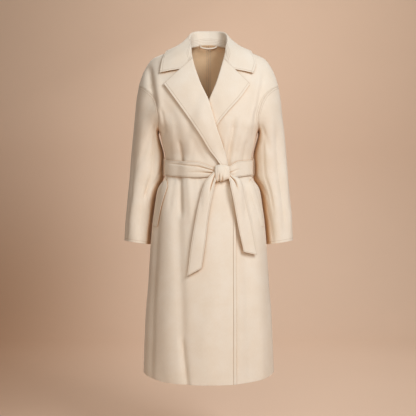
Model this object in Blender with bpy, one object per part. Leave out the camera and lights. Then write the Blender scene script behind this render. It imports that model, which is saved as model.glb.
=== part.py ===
"""A long belted wrap coat in double-faced wool, hollow, as it hangs when it is worn.

Metres, +Z up, the front faces -Y and +X is the wearer's left. The origin is level with the
points where the shoulders meet the neck, midway between them. Every piece is a wall: a flat
grid is moved onto the garment's form, and its copy, joined to it all round, is the other face.
"""

import math

import bmesh
import bpy
import numpy as np

RIGHT = -1
LEFT = 1
FRONT = -1
BACK = 1
SIDE_NAME = {RIGHT: "right", LEFT: "left"}

# Levels and widths of the body.
HEM = -1.132
UNDERARM = -0.290
SHOULDER_TIP = -0.140
WAIST = -0.413
WAIST_HALF_WIDTH = 0.1465
SHOULDER_REACH = 0.2395
UNDERARM_REACH = 0.1700
NECK_BACK_RISE = 0.011
NECK_RISE_FADE = 0.080
NECK_MIDDLE = 0.012
NECK_TURN = 0.9
FOLD_FREE_ANGLE = 0.10
FOLD_FADE_ANGLE = 0.35

# Cloth and seams.
WALL = 0.0024
SEAM_GAP = 0.0004
UNDERARM_TURN = 0.0015
ARMHOLE_TURN_HEIGHT = -0.245
ARMHOLE_TURN_LENGTH = 0.045

# The two fronts, which cross on the chest and lie on each other in the skirt.
BREAK_HEIGHT = -0.404
GORGE_HEIGHT = -0.060
GORGE_FADE = 0.055
EDGE_FADE = 0.13
OVER_EDGE = 0.089
UNDER_EDGE = 0.085
OVER_CHEST_LIFT = 0.0056
OVER_SKIRT_LIFT = 0.0024
UNDER_CHEST_DROP = 0.0036
UNDER_SKIRT_DROP = 0.0024
LAYER_HEIGHT = -0.462
LAYER_FADE = 0.05
LAYER_TOP_HEIGHT = -0.105
LAYER_TOP_FADE = 0.10
LAPEL_ROLL = {RIGHT: 0.0030, LEFT: 0.0024}
LAPEL_EDGE_LIFT = {RIGHT: 0.0038, LEFT: 0.0047}

# The collar.
COLLAR_ROLL = 0.0030
COLLAR_FRONT_SHARE = 0.85
COLLAR_SEAM_INSET = 0.0009
COLLAR_END_INSET = 0.0022
COLLAR_NOTCH_SHARE = 0.41
COLLAR_TIP_LIFT = 0.0040

# The belt, its knot and its carriers.
BELT_HEIGHT = 0.052
BELT_WALL = 0.0032
BELT_RISE = 0.004
BELT_DIP = 0.024
BELT_STANDOFF = 0.0012
BELT_END_SHARE = 0.48
BELT_LEFT_FADE = 0.30
BELT_RIGHT_FADE = 0.42
BELT_CREASE = (0.0, 0.0012, -0.0004, 0.0012, 0.0)
KNOT_CENTRE = (0.0445, -0.440)
KNOT_HALF_WIDTH = 0.025
KNOT_SLANT = 0.003
TAIL_WALL = 0.0036
TAIL_BOW = 0.0015
TAIL_LEAN = 0.3
LOOP_WALL = 0.0014
LOOP_WIDTH = 0.009
LOOP_HALF_HEIGHT = 0.036
LOOP_STANDOFF = 0.0014
LOOP_CLEARANCE = 0.0042
LOOP_FOOT_REACH = 0.140
LOOP_MIDDLE = 0.003

# The pocket welts and the hanger loop.
WELT_WALL = 0.0020
WELT_WIDTH = 0.026
WELT_STANDOFF = 0.0017
WELT_TOP = (0.1255, -0.459)
WELT_LOW = (0.1725, -0.620)
HANGER_WALL = 0.0012
HANGER_HALF_WIDTH = 0.0285
HANGER_STRIP = 0.0044
HANGER_HEIGHT = 0.011
HANGER_SAG = 0.011
HANGER_DEPTH = 0.0552
HANGER_BOW = 0.0030

# A plain colour for each kind of piece.
COLOURS = {
    "back": (0.80, 0.70, 0.56),
    "front": (0.83, 0.73, 0.59),
    "lapel": (0.86, 0.77, 0.63),
    "collar": (0.88, 0.79, 0.65),
    "sleeve": (0.80, 0.70, 0.56),
    "belt": (0.78, 0.68, 0.54),
    "pocket": (0.85, 0.76, 0.62),
    "hanger": (0.74, 0.62, 0.48),
}
ROUGHNESS = 0.92

# The plain body, a row for each level: half the width, and the depth in front of and behind
# its middle line. Squareness 2 is an ellipse.
BODY_COLUMNS = ("height", "half_width", "front_depth", "back_depth", "middle", "squareness")
BODY = (
    (HEM, 0.2230, 0.172, 0.160, 0.000, 2.10),
    (-1.000, 0.2190, 0.164, 0.152, 0.000, 2.10),
    (-0.910, 0.2148, 0.158, 0.146, 0.000, 2.10),
    (-0.840, 0.2085, 0.152, 0.141, 0.000, 2.10),
    (-0.683, 0.1985, 0.137, 0.131, 0.002, 2.15),
    (-0.610, 0.1925, 0.130, 0.127, 0.003, 2.15),
    (-0.550, 0.1845, 0.124, 0.121, 0.003, 2.15),
    (-0.495, 0.1755, 0.118, 0.112, 0.003, 2.20),
    (-0.475, 0.1660, 0.114, 0.106, 0.003, 2.20),
    (-0.453, WAIST_HALF_WIDTH, 0.107, 0.096, 0.003, 2.20),
    (-0.380, WAIST_HALF_WIDTH, 0.106, 0.095, 0.002, 2.20),
    (-0.366, 0.1505, 0.111, 0.099, 0.002, 2.25),
    (-0.345, 0.1565, 0.117, 0.105, 0.001, 2.30),
    (-0.322, 0.1610, 0.121, 0.109, 0.000, 2.35),
    (UNDERARM, UNDERARM_REACH, 0.124, 0.113, 0.000, 2.40),
    (-0.275, 0.1890, 0.125, 0.114, 0.000, 2.40),
    (-0.262, 0.2035, 0.125, 0.115, 0.000, 2.40),
    (-0.221, 0.2370, 0.123, 0.116, 0.000, 2.40),
    (-0.182, 0.2465, 0.119, 0.115, 0.000, 2.40),
    (SHOULDER_TIP, SHOULDER_REACH, 0.111, 0.110, 0.001, 2.35),
    (-0.091, 0.2240, 0.094, 0.098, 0.003, 2.25),
    (-0.067, 0.2110, 0.084, 0.090, 0.004, 2.20),
    (-0.046, 0.1950, 0.074, 0.082, 0.006, 2.15),
    (-0.032, 0.1700, 0.066, 0.075, 0.008, 2.10),
    (-0.014, 0.1150, 0.056, 0.064, 0.010, 2.10),
    (0.000, 0.0640, 0.047, 0.050, 0.012, 2.20),
)

# The armhole seam, seen from the front: how far it lies from the middle.
ARMHOLE_COLUMNS = ("height", "reach")
ARMHOLE = (
    (UNDERARM, UNDERARM_REACH),
    (-0.275, 0.1672),
    (-0.262, 0.1665),
    (-0.221, 0.1735),
    (-0.182, 0.1900),
    (-0.155, 0.2170),
    (SHOULDER_TIP, SHOULDER_REACH),
)

# The roll line of a front, from the neck down across the middle to the belt. Reach is counted
# towards that front's own side, so it turns negative where the front has crossed the middle.
ROLL_COLUMNS = ("height", "reach")
ROLL_LINE = (
    (-0.408, -0.0574),
    (-0.349, -0.0439),
    (-0.300, -0.0273),
    (-0.234, -0.0109),
    (-0.200, 0.0000),
    (-0.157, 0.0182),
    (-0.127, 0.0310),
    (-0.091, 0.0420),
    (-0.045, 0.0535),
    (0.000, 0.0600),
)

# The lapel's free edge, from its tip to the break. Share runs down the lapel.
LAPEL_COLUMNS = ("share", "reach", "height")
LAPEL_EDGE = {
    RIGHT: (
        (0.00, 0.1467, -0.1459),
        (0.28, 0.0960, -0.2161),
        (0.46, 0.0654, -0.2589),
        (0.72, 0.0181, -0.3279),
        (0.86, -0.0082, -0.3658),
        (1.00, -0.0380, -0.4040),
    ),
    LEFT: (
        (0.00, 0.1364, -0.1459),
        (0.20, 0.1038, -0.1923),
        (0.36, 0.0704, -0.2300),
        (0.53, 0.0373, -0.2702),
        (0.78, -0.0020, -0.3300),
        (1.00, -0.0400, -0.4040),
    ),
}

# Half the collar, from the centre back to the neck's front: its fold, then the middle and the
# free edge of its fall, which lie a lift above the garment at a reach and a height on it.
COLLAR_COLUMNS = (
    "share", "facing", "fold_reach", "fold_depth", "fold_height",
    "fall_reach", "fall_height", "fall_lift", "edge_reach", "edge_height", "edge_lift",
)
COLLAR = (
    (0.00, BACK, 0.0000, 0.078, 0.066, 0.000, -0.008, 0.016, 0.0000, -0.036, 0.0048),
    (0.17, BACK, 0.0330, 0.071, 0.065, 0.045, -0.009, 0.015, 0.0600, -0.035, 0.0048),
    (0.34, BACK, 0.0570, 0.047, 0.061, 0.079, -0.0115, 0.015, 0.1050, -0.0315, 0.0066),
    (0.43, BACK, 0.0640, 0.030, 0.055, 0.092, -0.0115, 0.015, 0.1270, -0.0270, 0.0082),
    (0.50, FRONT, 0.0655, 0.014, 0.047, 0.099, -0.0105, 0.014, 0.1390, -0.0218, 0.0064),
    (0.70, FRONT, 0.0640, -0.010, 0.024, 0.104, -0.0210, 0.013, 0.1480, -0.0420, 0.0050),
)
COLLAR_TIP = {RIGHT: (0.1592, -0.1073), LEFT: (0.1467, -0.1094)}

# A sleeve, a row for each ring: its outer and inner points seen from the front, the ring's
# middle and its half depth.
SLEEVE_COLUMNS = (
    "share", "outer_reach", "outer_height", "inner_reach", "inner_height", "middle", "half_depth",
)
SLEEVE = (
    (0.00, SHOULDER_REACH, SHOULDER_TIP, 0.1715, -0.2885, 0.000, 0.094),
    (0.06, 0.2470, -0.178, 0.1740, -0.3010, 0.003, 0.090),
    (0.14, 0.2535, -0.230, 0.1680, -0.3260, 0.009, 0.085),
    (0.27, 0.2640, -0.318, 0.1570, -0.3780, 0.024, 0.078),
    (0.41, 0.2735, -0.418, 0.1575, -0.4470, 0.032, 0.071),
    (0.47, 0.2765, -0.456, 0.1700, -0.4780, 0.032, 0.069),
    (0.54, 0.2795, -0.493, 0.1815, -0.5090, 0.030, 0.066),
    (0.66, 0.2845, -0.545, 0.1895, -0.5550, 0.028, 0.063),
    (0.80, 0.2890, -0.598, 0.1975, -0.6100, 0.025, 0.060),
    (1.00, 0.2935, -0.669, 0.2035, -0.6830, 0.022, 0.057),
)
SLEEVE_FADE = 0.22

# Soft folds of the body. Each runs through three points seen from the front or the back:
# reach is X, depth is outwards, so a trough is negative.
FOLD_COLUMNS = (
    "facing", "top_x", "top_z", "mid_x", "mid_z", "low_x", "low_z", "half_width", "depth",
)
BODY_FOLDS = (
    (FRONT, -0.186, -0.105, -0.174, -0.170, -0.158, -0.260, 0.009, -0.0045),
    (FRONT, -0.172, -0.120, -0.156, -0.190, -0.140, -0.300, 0.014, 0.0035),
    (FRONT, -0.146, -0.181, -0.112, -0.270, -0.092, -0.397, 0.013, -0.0060),
    (FRONT, -0.110, -0.200, -0.082, -0.300, -0.064, -0.385, 0.014, 0.0045),
    (FRONT, -0.056, -0.320, -0.035, -0.365, -0.020, -0.400, 0.011, -0.0030),
    (FRONT, 0.076, -0.264, 0.071, -0.340, 0.066, -0.410, 0.012, -0.0060),
    (FRONT, 0.128, -0.270, 0.108, -0.345, 0.092, -0.397, 0.013, 0.0045),
    (FRONT, 0.186, -0.105, 0.174, -0.170, 0.158, -0.260, 0.009, -0.0045),
    (FRONT, 0.170, -0.125, 0.152, -0.200, 0.138, -0.310, 0.014, 0.0035),
    (FRONT, -0.091, -0.445, -0.080, -0.740, -0.060, -1.150, 0.021, -0.0085),
    (FRONT, -0.128, -0.470, -0.120, -0.780, -0.110, -1.150, 0.024, 0.0060),
    (FRONT, 0.020, -0.480, 0.010, -0.760, -0.004, -1.150, 0.034, 0.0030),
    (FRONT, 0.118, -0.460, 0.126, -0.760, 0.136, -1.150, 0.020, -0.0060),
    (FRONT, 0.160, -0.500, 0.168, -0.780, 0.176, -1.150, 0.022, 0.0040),
    (BACK, -0.105, -0.455, -0.118, -0.760, -0.132, -1.150, 0.024, 0.0075),
    (BACK, -0.064, -0.450, -0.072, -0.760, -0.086, -1.150, 0.020, -0.0075),
    (BACK, 0.052, -0.455, 0.064, -0.760, 0.074, -1.150, 0.021, -0.0080),
    (BACK, 0.096, -0.460, 0.112, -0.760, 0.124, -1.150, 0.024, 0.0070),
    (BACK, -0.012, -0.500, -0.016, -0.800, -0.020, -1.150, 0.026, 0.0035),
    (BACK, -0.150, -0.150, -0.112, -0.280, -0.080, -0.390, 0.014, -0.0045),
    (BACK, 0.156, -0.150, 0.104, -0.280, 0.070, -0.390, 0.014, -0.0050),
    (BACK, -0.090, -0.230, -0.060, -0.310, -0.040, -0.385, 0.014, 0.0040),
    (BACK, 0.086, -0.240, 0.050, -0.310, 0.034, -0.385, 0.014, 0.0040),
)

# Soft folds of a sleeve: angle is 0 on the outside and grows through the front, in radians,
# and share runs from the armhole to the cuff.
SLEEVE_FOLD_COLUMNS = (
    "side", "top_angle", "top_share", "low_angle", "low_share", "half_width", "depth",
)
SLEEVE_FOLDS = (
    (RIGHT, 1.25, 0.10, 1.05, 0.90, 0.30, 0.0040),
    (RIGHT, 1.95, 0.12, 1.85, 0.95, 0.26, -0.0050),
    (RIGHT, 4.20, 0.15, 4.40, 0.85, 0.30, -0.0045),
    (RIGHT, 5.20, 0.20, 5.30, 0.90, 0.34, 0.0035),
    (LEFT, 1.05, 0.08, 1.20, 0.95, 0.28, -0.0055),
    (LEFT, 0.45, 0.12, 0.55, 0.90, 0.30, 0.0035),
    (LEFT, 1.75, 0.15, 1.80, 0.90, 0.28, 0.0035),
    (LEFT, 4.30, 0.12, 4.10, 0.90, 0.30, -0.0045),
    (LEFT, 5.10, 0.15, 5.30, 0.90, 0.34, 0.0035),
)

# The belt's free ends, from the knot down: the strip's middle, its half width and how far it
# stands off the skirt.
TAIL_COLUMNS = ("share", "middle_x", "height", "half_width", "clearance")
BELT_TAILS = {
    RIGHT: (
        (0.00, 0.0290, -0.4692, 0.0120, 0.0135),
        (0.08, 0.0160, -0.486, 0.0165, 0.0120),
        (0.18, -0.0020, -0.515, 0.0205, 0.0120),
        (0.38, -0.0187, -0.580, 0.0225, 0.0110),
        (0.56, -0.0252, -0.637, 0.0235, 0.0095),
        (0.78, -0.0350, -0.702, 0.0240, 0.0085),
        (1.00, -0.0435, -0.767, 0.0245, 0.0080),
    ),
    LEFT: (
        (0.00, 0.0620, -0.4612, 0.0120, 0.0135),
        (0.10, 0.0780, -0.484, 0.0175, 0.0120),
        (0.24, 0.0905, -0.522, 0.0195, 0.0115),
        (0.44, 0.1028, -0.580, 0.0205, 0.0105),
        (0.68, 0.1145, -0.640, 0.0215, 0.0090),
        (1.00, 0.1300, -0.707, 0.0220, 0.0080),
    ),
}
TAIL_END_SLANT = {RIGHT: 0.016, LEFT: -0.006}

# The knot, a row for each slice from its right to its left: half height, half thickness, and
# how far its middle drops.
KNOT_COLUMNS = ("share", "half_height", "half_thickness", "drop")
KNOT = (
    (0.00, 0.0100, 0.0045, 0.002),
    (0.12, 0.0190, 0.0095, 0.001),
    (0.30, 0.0255, 0.0140, 0.000),
    (0.50, 0.0275, 0.0160, 0.000),
    (0.72, 0.0255, 0.0145, -0.001),
    (0.88, 0.0195, 0.0100, -0.002),
    (1.00, 0.0110, 0.0050, -0.003),
)

# Grid sizes.
SKIRT_LEVELS = (HEM, -1.045, -0.955, -0.865, -0.775, -0.690, -0.610, -0.545, -0.495)
WAIST_LEVELS = (-0.475, -0.464, -0.453, -0.413, -0.380, -0.365, -0.345, -0.318)
ARMHOLE_STEPS = 8
SHOULDER_LEVELS = (-0.112, -0.086, -0.060, -0.045, -0.030, -0.015, 0.0)
FRONT_COLUMNS = 22
BACK_COLUMNS = 12
SLEEVE_RINGS = 13
SLEEVE_RING_SPREAD = 1.15
LAPEL_ROWS = 14
LAPEL_FALL_COLUMNS = 5
ROLL_STEPS = 4
COLLAR_COLUMN_COUNT = 10
COLLAR_SHARES = (0.0, 0.1, 0.2, 0.3, 0.4, 0.5, 0.6, 0.7, 0.775, 0.85, 0.925, 1.0)
BELT_STEPS = 44
BELT_ROWS = 5
KNOT_SLICES = 9
KNOT_POINTS = 14
TAIL_ROWS = 13
TAIL_COLUMN_COUNT = 5
LOOP_ROWS = 11
WELT_ROWS = 11
WELT_COLUMNS = 4
HANGER_ROWS = 11


def column(table, columns, name):
    return np.array([row[columns.index(name)] for row in table], float)


def smooth(keys, values, at):
    """A smooth line through the values that doesn't overshoot them."""
    at = np.clip(np.asarray(at, float), keys[0], keys[-1])
    widths = np.diff(keys)
    slopes = np.diff(values) / widths
    tangents = np.zeros(len(keys))
    tangents[0] = slopes[0]
    tangents[-1] = slopes[-1]
    for index in range(1, len(keys) - 1):
        before, after = slopes[index - 1], slopes[index]
        if before * after > 0:
            tangents[index] = 2 * before * after / (before + after)
    index = np.clip(np.searchsorted(keys, at, side="right") - 1, 0, len(widths) - 1)
    width = widths[index]
    share = (at - keys[index]) / width
    rest = 1 - share
    return (
        values[index] * rest * rest * (1 + 2 * share)
        + values[index + 1] * share * share * (1 + 2 * rest)
        + tangents[index] * width * share * rest * rest
        - tangents[index + 1] * width * share * share * rest
    )


def look_up(table, columns, name, at):
    """The named column at a value of the table's first column."""
    return smooth(column(table, columns, columns[0]), column(table, columns, name), at)


def ease(value):
    """0 below 0, 1 above 1 and a soft step between."""
    value = np.clip(value, 0, 1)
    return value * value * (3 - 2 * value)


def signed_power(value, power):
    return np.sign(value) * np.abs(value) ** power


def unit(vectors):
    return vectors / np.maximum(np.linalg.norm(vectors, axis=-1, keepdims=True), 1e-12)


def body_base(side, facing, angle, height):
    """The plain form. The angle is 0 at the side seam and half pi at the middle."""
    power = 2 / look_up(BODY, BODY_COLUMNS, "squareness", height)
    depth_name = "front_depth" if facing == FRONT else "back_depth"
    across = look_up(BODY, BODY_COLUMNS, "half_width", height) * signed_power(np.cos(angle), power)
    along = look_up(BODY, BODY_COLUMNS, depth_name, height) * signed_power(np.sin(angle), power)
    middle = look_up(BODY, BODY_COLUMNS, "middle", height)
    lift = 0.0
    if facing == BACK:
        lift = NECK_BACK_RISE * ease(1 + height / NECK_RISE_FADE) * np.sin(angle) ** 2
    return np.stack([side * across, middle + facing * along, height + lift], axis=-1)


def body_frame(side, facing, angle, height):
    """The plain form's points, and their unit normals, which point out of the garment."""
    angle, height = np.broadcast_arrays(np.asarray(angle, float), np.asarray(height, float))
    step = 0.002
    rise = 0.0005
    before = body_base(side, facing, angle - step, height)
    after = body_base(side, facing, angle + step, height)
    below = body_base(side, facing, angle, height - rise)
    above = body_base(side, facing, angle, height + rise)
    normal = side * facing * np.cross(after - before, above - below)
    return body_base(side, facing, angle, height), unit(normal)


def angle_at(reach, height):
    """The angle at which the form is this far out on its own side, or past the middle if less."""
    power = look_up(BODY, BODY_COLUMNS, "squareness", height) / 2
    share = np.clip(reach / look_up(BODY, BODY_COLUMNS, "half_width", height), -1, 1)
    return np.arccos(signed_power(share, power))


def body_folds(facing, x, height, angle):
    """How far the soft folds move the cloth out. They die away at the side seam."""
    total = np.zeros(np.broadcast(x, height).shape)
    for row in BODY_FOLDS:
        fold = dict(zip(FOLD_COLUMNS, row))
        if fold["facing"] != facing:
            continue
        heights = (fold["low_z"], fold["mid_z"], fold["top_z"])
        reaches = (fold["low_x"], fold["mid_x"], fold["top_x"])
        line = np.polyfit(heights, reaches, 2)
        slope = np.polyval(np.polyder(line), height)
        away = (x - np.polyval(line, height)) / np.sqrt(1 + slope * slope)
        length = fold["top_z"] - fold["low_z"]
        fade = 0.3 * length
        low_end = ease((height - fold["low_z"]) / fade + 0.5)
        top_end = ease((fold["top_z"] - height) / fade + 0.5)
        ends = low_end * top_end
        total = total + fold["depth"] * ends * np.exp(-((away / fold["half_width"]) ** 2))
    return total * ease((angle - FOLD_FREE_ANGLE) / FOLD_FADE_ANGLE)


def front_layer(side, x, height):
    """How far a front stands out where the two fronts lie on each other."""
    own = side * x
    above_skirt = ease((height - LAYER_HEIGHT) / LAYER_FADE)
    chest = above_skirt * ease((LAYER_TOP_HEIGHT - height) / LAYER_TOP_FADE)
    other_roll = -look_up(ROLL_LINE, ROLL_COLUMNS, "reach", np.maximum(height, BREAK_HEIGHT))
    on_chest = chest * ease((other_roll + 0.045 - own) / 0.035)
    on_skirt = (1 - above_skirt) * ease((UNDER_EDGE + 0.030 - own) / 0.028)
    if side == RIGHT:
        return OVER_CHEST_LIFT * on_chest + OVER_SKIRT_LIFT * on_skirt
    return -UNDER_CHEST_DROP * on_chest - UNDER_SKIRT_DROP * on_skirt


def body_point(side, facing, angle, height, lift=0.0):
    """The worn cloth's middle surface, moved out by lift, with the form's normals."""
    base, normal = body_frame(side, facing, angle, height)
    out = lift + body_folds(facing, base[..., 0], base[..., 2], angle)
    if facing == FRONT:
        out = out + front_layer(side, base[..., 0], base[..., 2])
    return base + normal * np.asarray(out)[..., None], normal


def front_point(side, reach, height, lift=0.0):
    """A point of a front by how far it lies towards its own side, seen from the front."""
    height = np.asarray(height, float)
    return body_point(side, FRONT, angle_at(np.asarray(reach, float), height), height, lift)


def seam_normal(normal, points, share):
    """At the neck seam the cloth turns up, so both pieces end on the bisector of the turn."""
    away = np.array(points, float)
    away[..., 1] -= NECK_MIDDLE
    away[..., 2] = 0
    return unit(normal + unit(away) * NECK_TURN * np.asarray(share)[..., None])


def inset(middle, edges, gap=SEAM_GAP / 2):
    """Draws the named edges of a grid in, which leaves the gap at each seam."""
    result = middle.copy()
    pairs = {
        "first_row": (np.s_[0], np.s_[1]),
        "last_row": (np.s_[-1], np.s_[-2]),
        "first_column": (np.s_[:, 0], np.s_[:, 1]),
        "last_column": (np.s_[:, -1], np.s_[:, -2]),
    }
    for edge in edges:
        border, inner = pairs[edge]
        result[border] += unit(middle[inner] - middle[border]) * gap
    return result


def grid_normals(middle, closed=False):
    """Unit normals of a grid of points. A closed grid's last column repeats its first."""
    if closed:
        ring = middle[:, :-1]
        across = np.roll(ring, -1, axis=1) - np.roll(ring, 1, axis=1)
        across = np.concatenate([across, across[:, :1]], axis=1)
    else:
        across = np.gradient(middle, axis=1)
    return unit(np.cross(np.gradient(middle, axis=0), across))


def material(name):
    """A matt cloth material in the colour of this kind of piece."""
    colour = COLOURS[name.split("_")[0]]
    made = bpy.data.materials.new(name + "_cloth")
    made.use_nodes = True
    shader = made.node_tree.nodes["Principled BSDF"]
    shader.inputs["Base Color"].default_value = (*colour, 1.0)
    shader.inputs["Roughness"].default_value = ROUGHNESS
    shader.inputs["Metallic"].default_value = 0.0
    made.diffuse_color = (*colour, 1.0)
    return made


def add_object(name, built, coat):
    """Turns the finished bmesh into the named object."""
    mesh = bpy.data.meshes.new(name)
    built.to_mesh(mesh)
    built.free()
    mesh.materials.append(material(name))
    mesh.shade_smooth()
    coat.objects.link(bpy.data.objects.new(name, mesh))


def add_wall(name, middle, normals, thickness, coat, closed=False):
    """A wall of one thickness round a grid of points; closed joins the last column to the first."""
    rows, columns = middle.shape[:2]
    grid = bmesh.new()
    bmesh.ops.create_grid(grid, x_segments=columns - 1, y_segments=rows - 1, size=1)
    place = grid.verts.layers.int.new("place")
    for vertex in grid.verts:
        row = round((vertex.co.y + 1) / 2 * (rows - 1))
        across = round((vertex.co.x + 1) / 2 * (columns - 1))
        vertex[place] = row * columns + across
    for vertex in grid.verts:
        vertex.co = middle[divmod(vertex[place], columns)]
    if closed:
        bmesh.ops.remove_doubles(grid, verts=grid.verts[:], dist=1e-6)
    faces = grid.verts[:] + grid.edges[:] + grid.faces[:]
    inner = grid.verts[:]
    copied = bmesh.ops.extrude_face_region(grid, geom=faces, use_keep_orig=True)["geom"]
    outer = [item for item in copied if isinstance(item, bmesh.types.BMVert)]
    for vertices, way in ((inner, -1), (outer, 1)):
        for vertex in vertices:
            spot = divmod(vertex[place], columns)
            vertex.co = middle[spot] + normals[spot] * (way * thickness / 2)
    bmesh.ops.recalc_face_normals(grid, faces=grid.faces[:])
    add_object(name, grid, coat)


def armhole_levels():
    """Levels from the underarm to the shoulder tip, close together at both ends."""
    turn = np.linspace(math.pi, 0, ARMHOLE_STEPS + 1)
    middle = (SHOULDER_TIP + UNDERARM) / 2
    half = (SHOULDER_TIP - UNDERARM) / 2
    return middle + half * np.cos(turn)


def panel_levels():
    return np.concatenate([SKIRT_LEVELS, WAIST_LEVELS, armhole_levels(), SHOULDER_LEVELS])


def armhole_share(height):
    """1 where the armhole seam faces down, at the underarm, and 0 where it faces out."""
    return ease((ARMHOLE_TURN_HEIGHT - height) / ARMHOLE_TURN_LENGTH)


def outer_angle(height):
    """The side seam, then the armhole seam, then the shoulder seam."""
    reach = look_up(ARMHOLE, ARMHOLE_COLUMNS, "reach", height)
    half = look_up(BODY, BODY_COLUMNS, "half_width", height)
    on_seam = (height > UNDERARM) & (height < SHOULDER_TIP)
    return np.where(on_seam, angle_at(np.minimum(reach, half), height), 0.0)


def turn_down(normals, height):
    """The shared normals of the armhole seam, which turn down at the underarm."""
    down = np.array([0.0, 0.0, -1.0])
    share = armhole_share(height)[..., None]
    return unit(normals * (1 - share) + down * share)


def armhole_loop(side, turns):
    """Points and shared normals of the armhole seam; the turn is 0 on top, half pi in front."""
    middle = (SHOULDER_TIP + UNDERARM) / 2
    half = (SHOULDER_TIP - UNDERARM) / 2
    height = middle + half * np.cos(turns)
    angle = outer_angle(height)
    points = np.empty((len(turns), 3))
    normals = np.empty((len(turns), 3))
    for facing in (FRONT, BACK):
        chosen = (np.sin(turns) >= -1e-9) == (facing == FRONT)
        points[chosen], normals[chosen] = body_point(side, facing, angle[chosen], height[chosen])
    lowest = np.argmin(np.abs(height - UNDERARM))
    points[lowest] += (side * UNDERARM_TURN, 0, UNDERARM_TURN)
    return points, turn_down(normals, height)


def finish_panel(middle, normals, levels, side):
    """Sets the shared normals of the armhole and moves the underarm corner out a little."""
    on_seam = (levels >= UNDERARM - 1e-6) & (levels <= SHOULDER_TIP + 1e-6)
    normals[on_seam, 0] = turn_down(normals[on_seam, 0], levels[on_seam])
    corner = np.argmin(np.abs(levels - UNDERARM))
    middle[corner, 0] += (side * UNDERARM_TURN, 0, UNDERARM_TURN)


def build_back(side, coat):
    levels = panel_levels()
    across = np.linspace(0, 1, BACK_COLUMNS)
    start = outer_angle(levels)[:, None]
    angle = start + (math.pi / 2 - start) * across[None, :]
    height = np.broadcast_to(levels[:, None], angle.shape)
    middle, normals = body_point(side, BACK, angle, height)
    finish_panel(middle, normals, levels, side)
    normals[-1] = seam_normal(normals[-1], middle[-1], np.ones(len(across)))
    normals[:, -1, 0] = 0
    middle = inset(middle, ("first_column", "last_column", "last_row"))
    add_wall("back_" + SIDE_NAME[side], middle, unit(normals), WALL, coat)


def front_edge_reach(side, height):
    """Where a front ends: its roll line down to the break, then its straight front edge."""
    roll = look_up(ROLL_LINE, ROLL_COLUMNS, "reach", height)
    edge = -OVER_EDGE if side == RIGHT else -UNDER_EDGE
    below = ease((BREAK_HEIGHT - height) / EDGE_FADE)
    return roll * (1 - below) + edge * below


def build_front(side, coat):
    levels = panel_levels()
    across = np.linspace(0, 1, FRONT_COLUMNS)
    start = outer_angle(levels)[:, None]
    end = angle_at(front_edge_reach(side, levels), levels)[:, None]
    angle = start + (end - start) * across[None, :]
    height = np.broadcast_to(levels[:, None], angle.shape)
    middle, normals = body_point(side, FRONT, angle, height)
    finish_panel(middle, normals, levels, side)
    share = ease((levels - GORGE_HEIGHT) / GORGE_FADE)
    normals[-1] = seam_normal(normals[-1], middle[-1], np.ones(len(across)))
    normals[:, -1] = seam_normal(normals[:, -1], middle[:, -1], share)
    middle = inset(middle, ("first_column", "last_column", "last_row"))
    add_wall("front_" + SIDE_NAME[side], middle, normals, WALL, coat)


def roll_points(side, height, turns):
    """The half round of cloth that turns a front back on itself at its roll line."""
    reach = look_up(ROLL_LINE, ROLL_COLUMNS, "reach", height)
    start, normal = front_point(side, reach, height)
    further = front_point(side, reach - 0.004, height)[0]
    beyond = unit(further - start)
    beyond = unit(beyond - normal * np.sum(beyond * normal, axis=-1, keepdims=True))
    turn = np.asarray(turns)[None, :, None]
    out = normal[:, None] * (1 - np.cos(turn)) + beyond[:, None] * np.sin(turn)
    facing = normal[:, None] * np.cos(turn) - beyond[:, None] * np.sin(turn)
    return start[:, None] + out * LAPEL_ROLL[side], facing


def lapel_surface(side, down, across):
    """The turned-back part past its roll: down is 0 at the gorge, across is 0 at the roll."""
    rolled = 2 * LAPEL_ROLL[side]
    down = down[:, None]
    across = across[None, :]
    roll_height = GORGE_HEIGHT + (BREAK_HEIGHT - GORGE_HEIGHT) * down
    roll_reach = look_up(ROLL_LINE, ROLL_COLUMNS, "reach", roll_height)
    edge_reach = look_up(LAPEL_EDGE[side], LAPEL_COLUMNS, "reach", down)
    edge_height = look_up(LAPEL_EDGE[side], LAPEL_COLUMNS, "height", down)
    reach = roll_reach + (edge_reach - roll_reach) * across
    height = roll_height + (edge_height - roll_height) * across
    lift = rolled + (LAPEL_EDGE_LIFT[side] - rolled) * ease(across)
    return front_point(side, reach, height, lift)


def build_lapel(side, coat):
    down = np.linspace(0, 1, LAPEL_ROWS)
    turns = np.linspace(0, math.pi, ROLL_STEPS + 1)
    across = np.linspace(0, 1, LAPEL_FALL_COLUMNS + 1)[1:]
    roll_height = GORGE_HEIGHT + (BREAK_HEIGHT - GORGE_HEIGHT) * down
    rolled, rolled_normals = roll_points(side, roll_height, turns)
    fall, fall_normals = lapel_surface(side, down, across)
    middle = np.concatenate([rolled, fall], axis=1)
    normals = np.concatenate([rolled_normals, -fall_normals], axis=1)
    middle = inset(middle, ("first_column", "first_row"))
    add_wall("lapel_" + SIDE_NAME[side], middle, normals, WALL, coat)


def neck_seam(side, share):
    """The seam that the collar grows from: the back neck, the front neck and the roll line."""
    back = np.clip(share / 0.5, 0, 1)
    front = np.clip((share - 0.5) / 0.2, 0, 1)
    roll = np.clip((share - 0.7) / 0.3, 0, 1)
    neck = np.zeros_like(share)
    back_points, back_normals = body_point(side, BACK, (1 - back) * math.pi / 2, neck)
    height = GORGE_HEIGHT * roll
    end = angle_at(look_up(ROLL_LINE, ROLL_COLUMNS, "reach", height), height)
    front_points, front_normals = body_point(side, FRONT, end * front, height)
    on_back = (share <= 0.5)[:, None]
    points = np.where(on_back, back_points, front_points)
    turning = np.where(share <= 0.5, 1.0, ease((height - GORGE_HEIGHT) / GORGE_FADE))
    normals = seam_normal(np.where(on_back, back_normals, front_normals), points, turning)
    return points, normals


def through(points, count):
    """Evenly spread points on a smooth line through the given ones."""
    keys = np.linspace(0, 1, len(points))
    at = np.linspace(0, 1, count)
    return np.stack([smooth(keys, points[:, axis], at) for axis in range(3)], axis=1)


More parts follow.
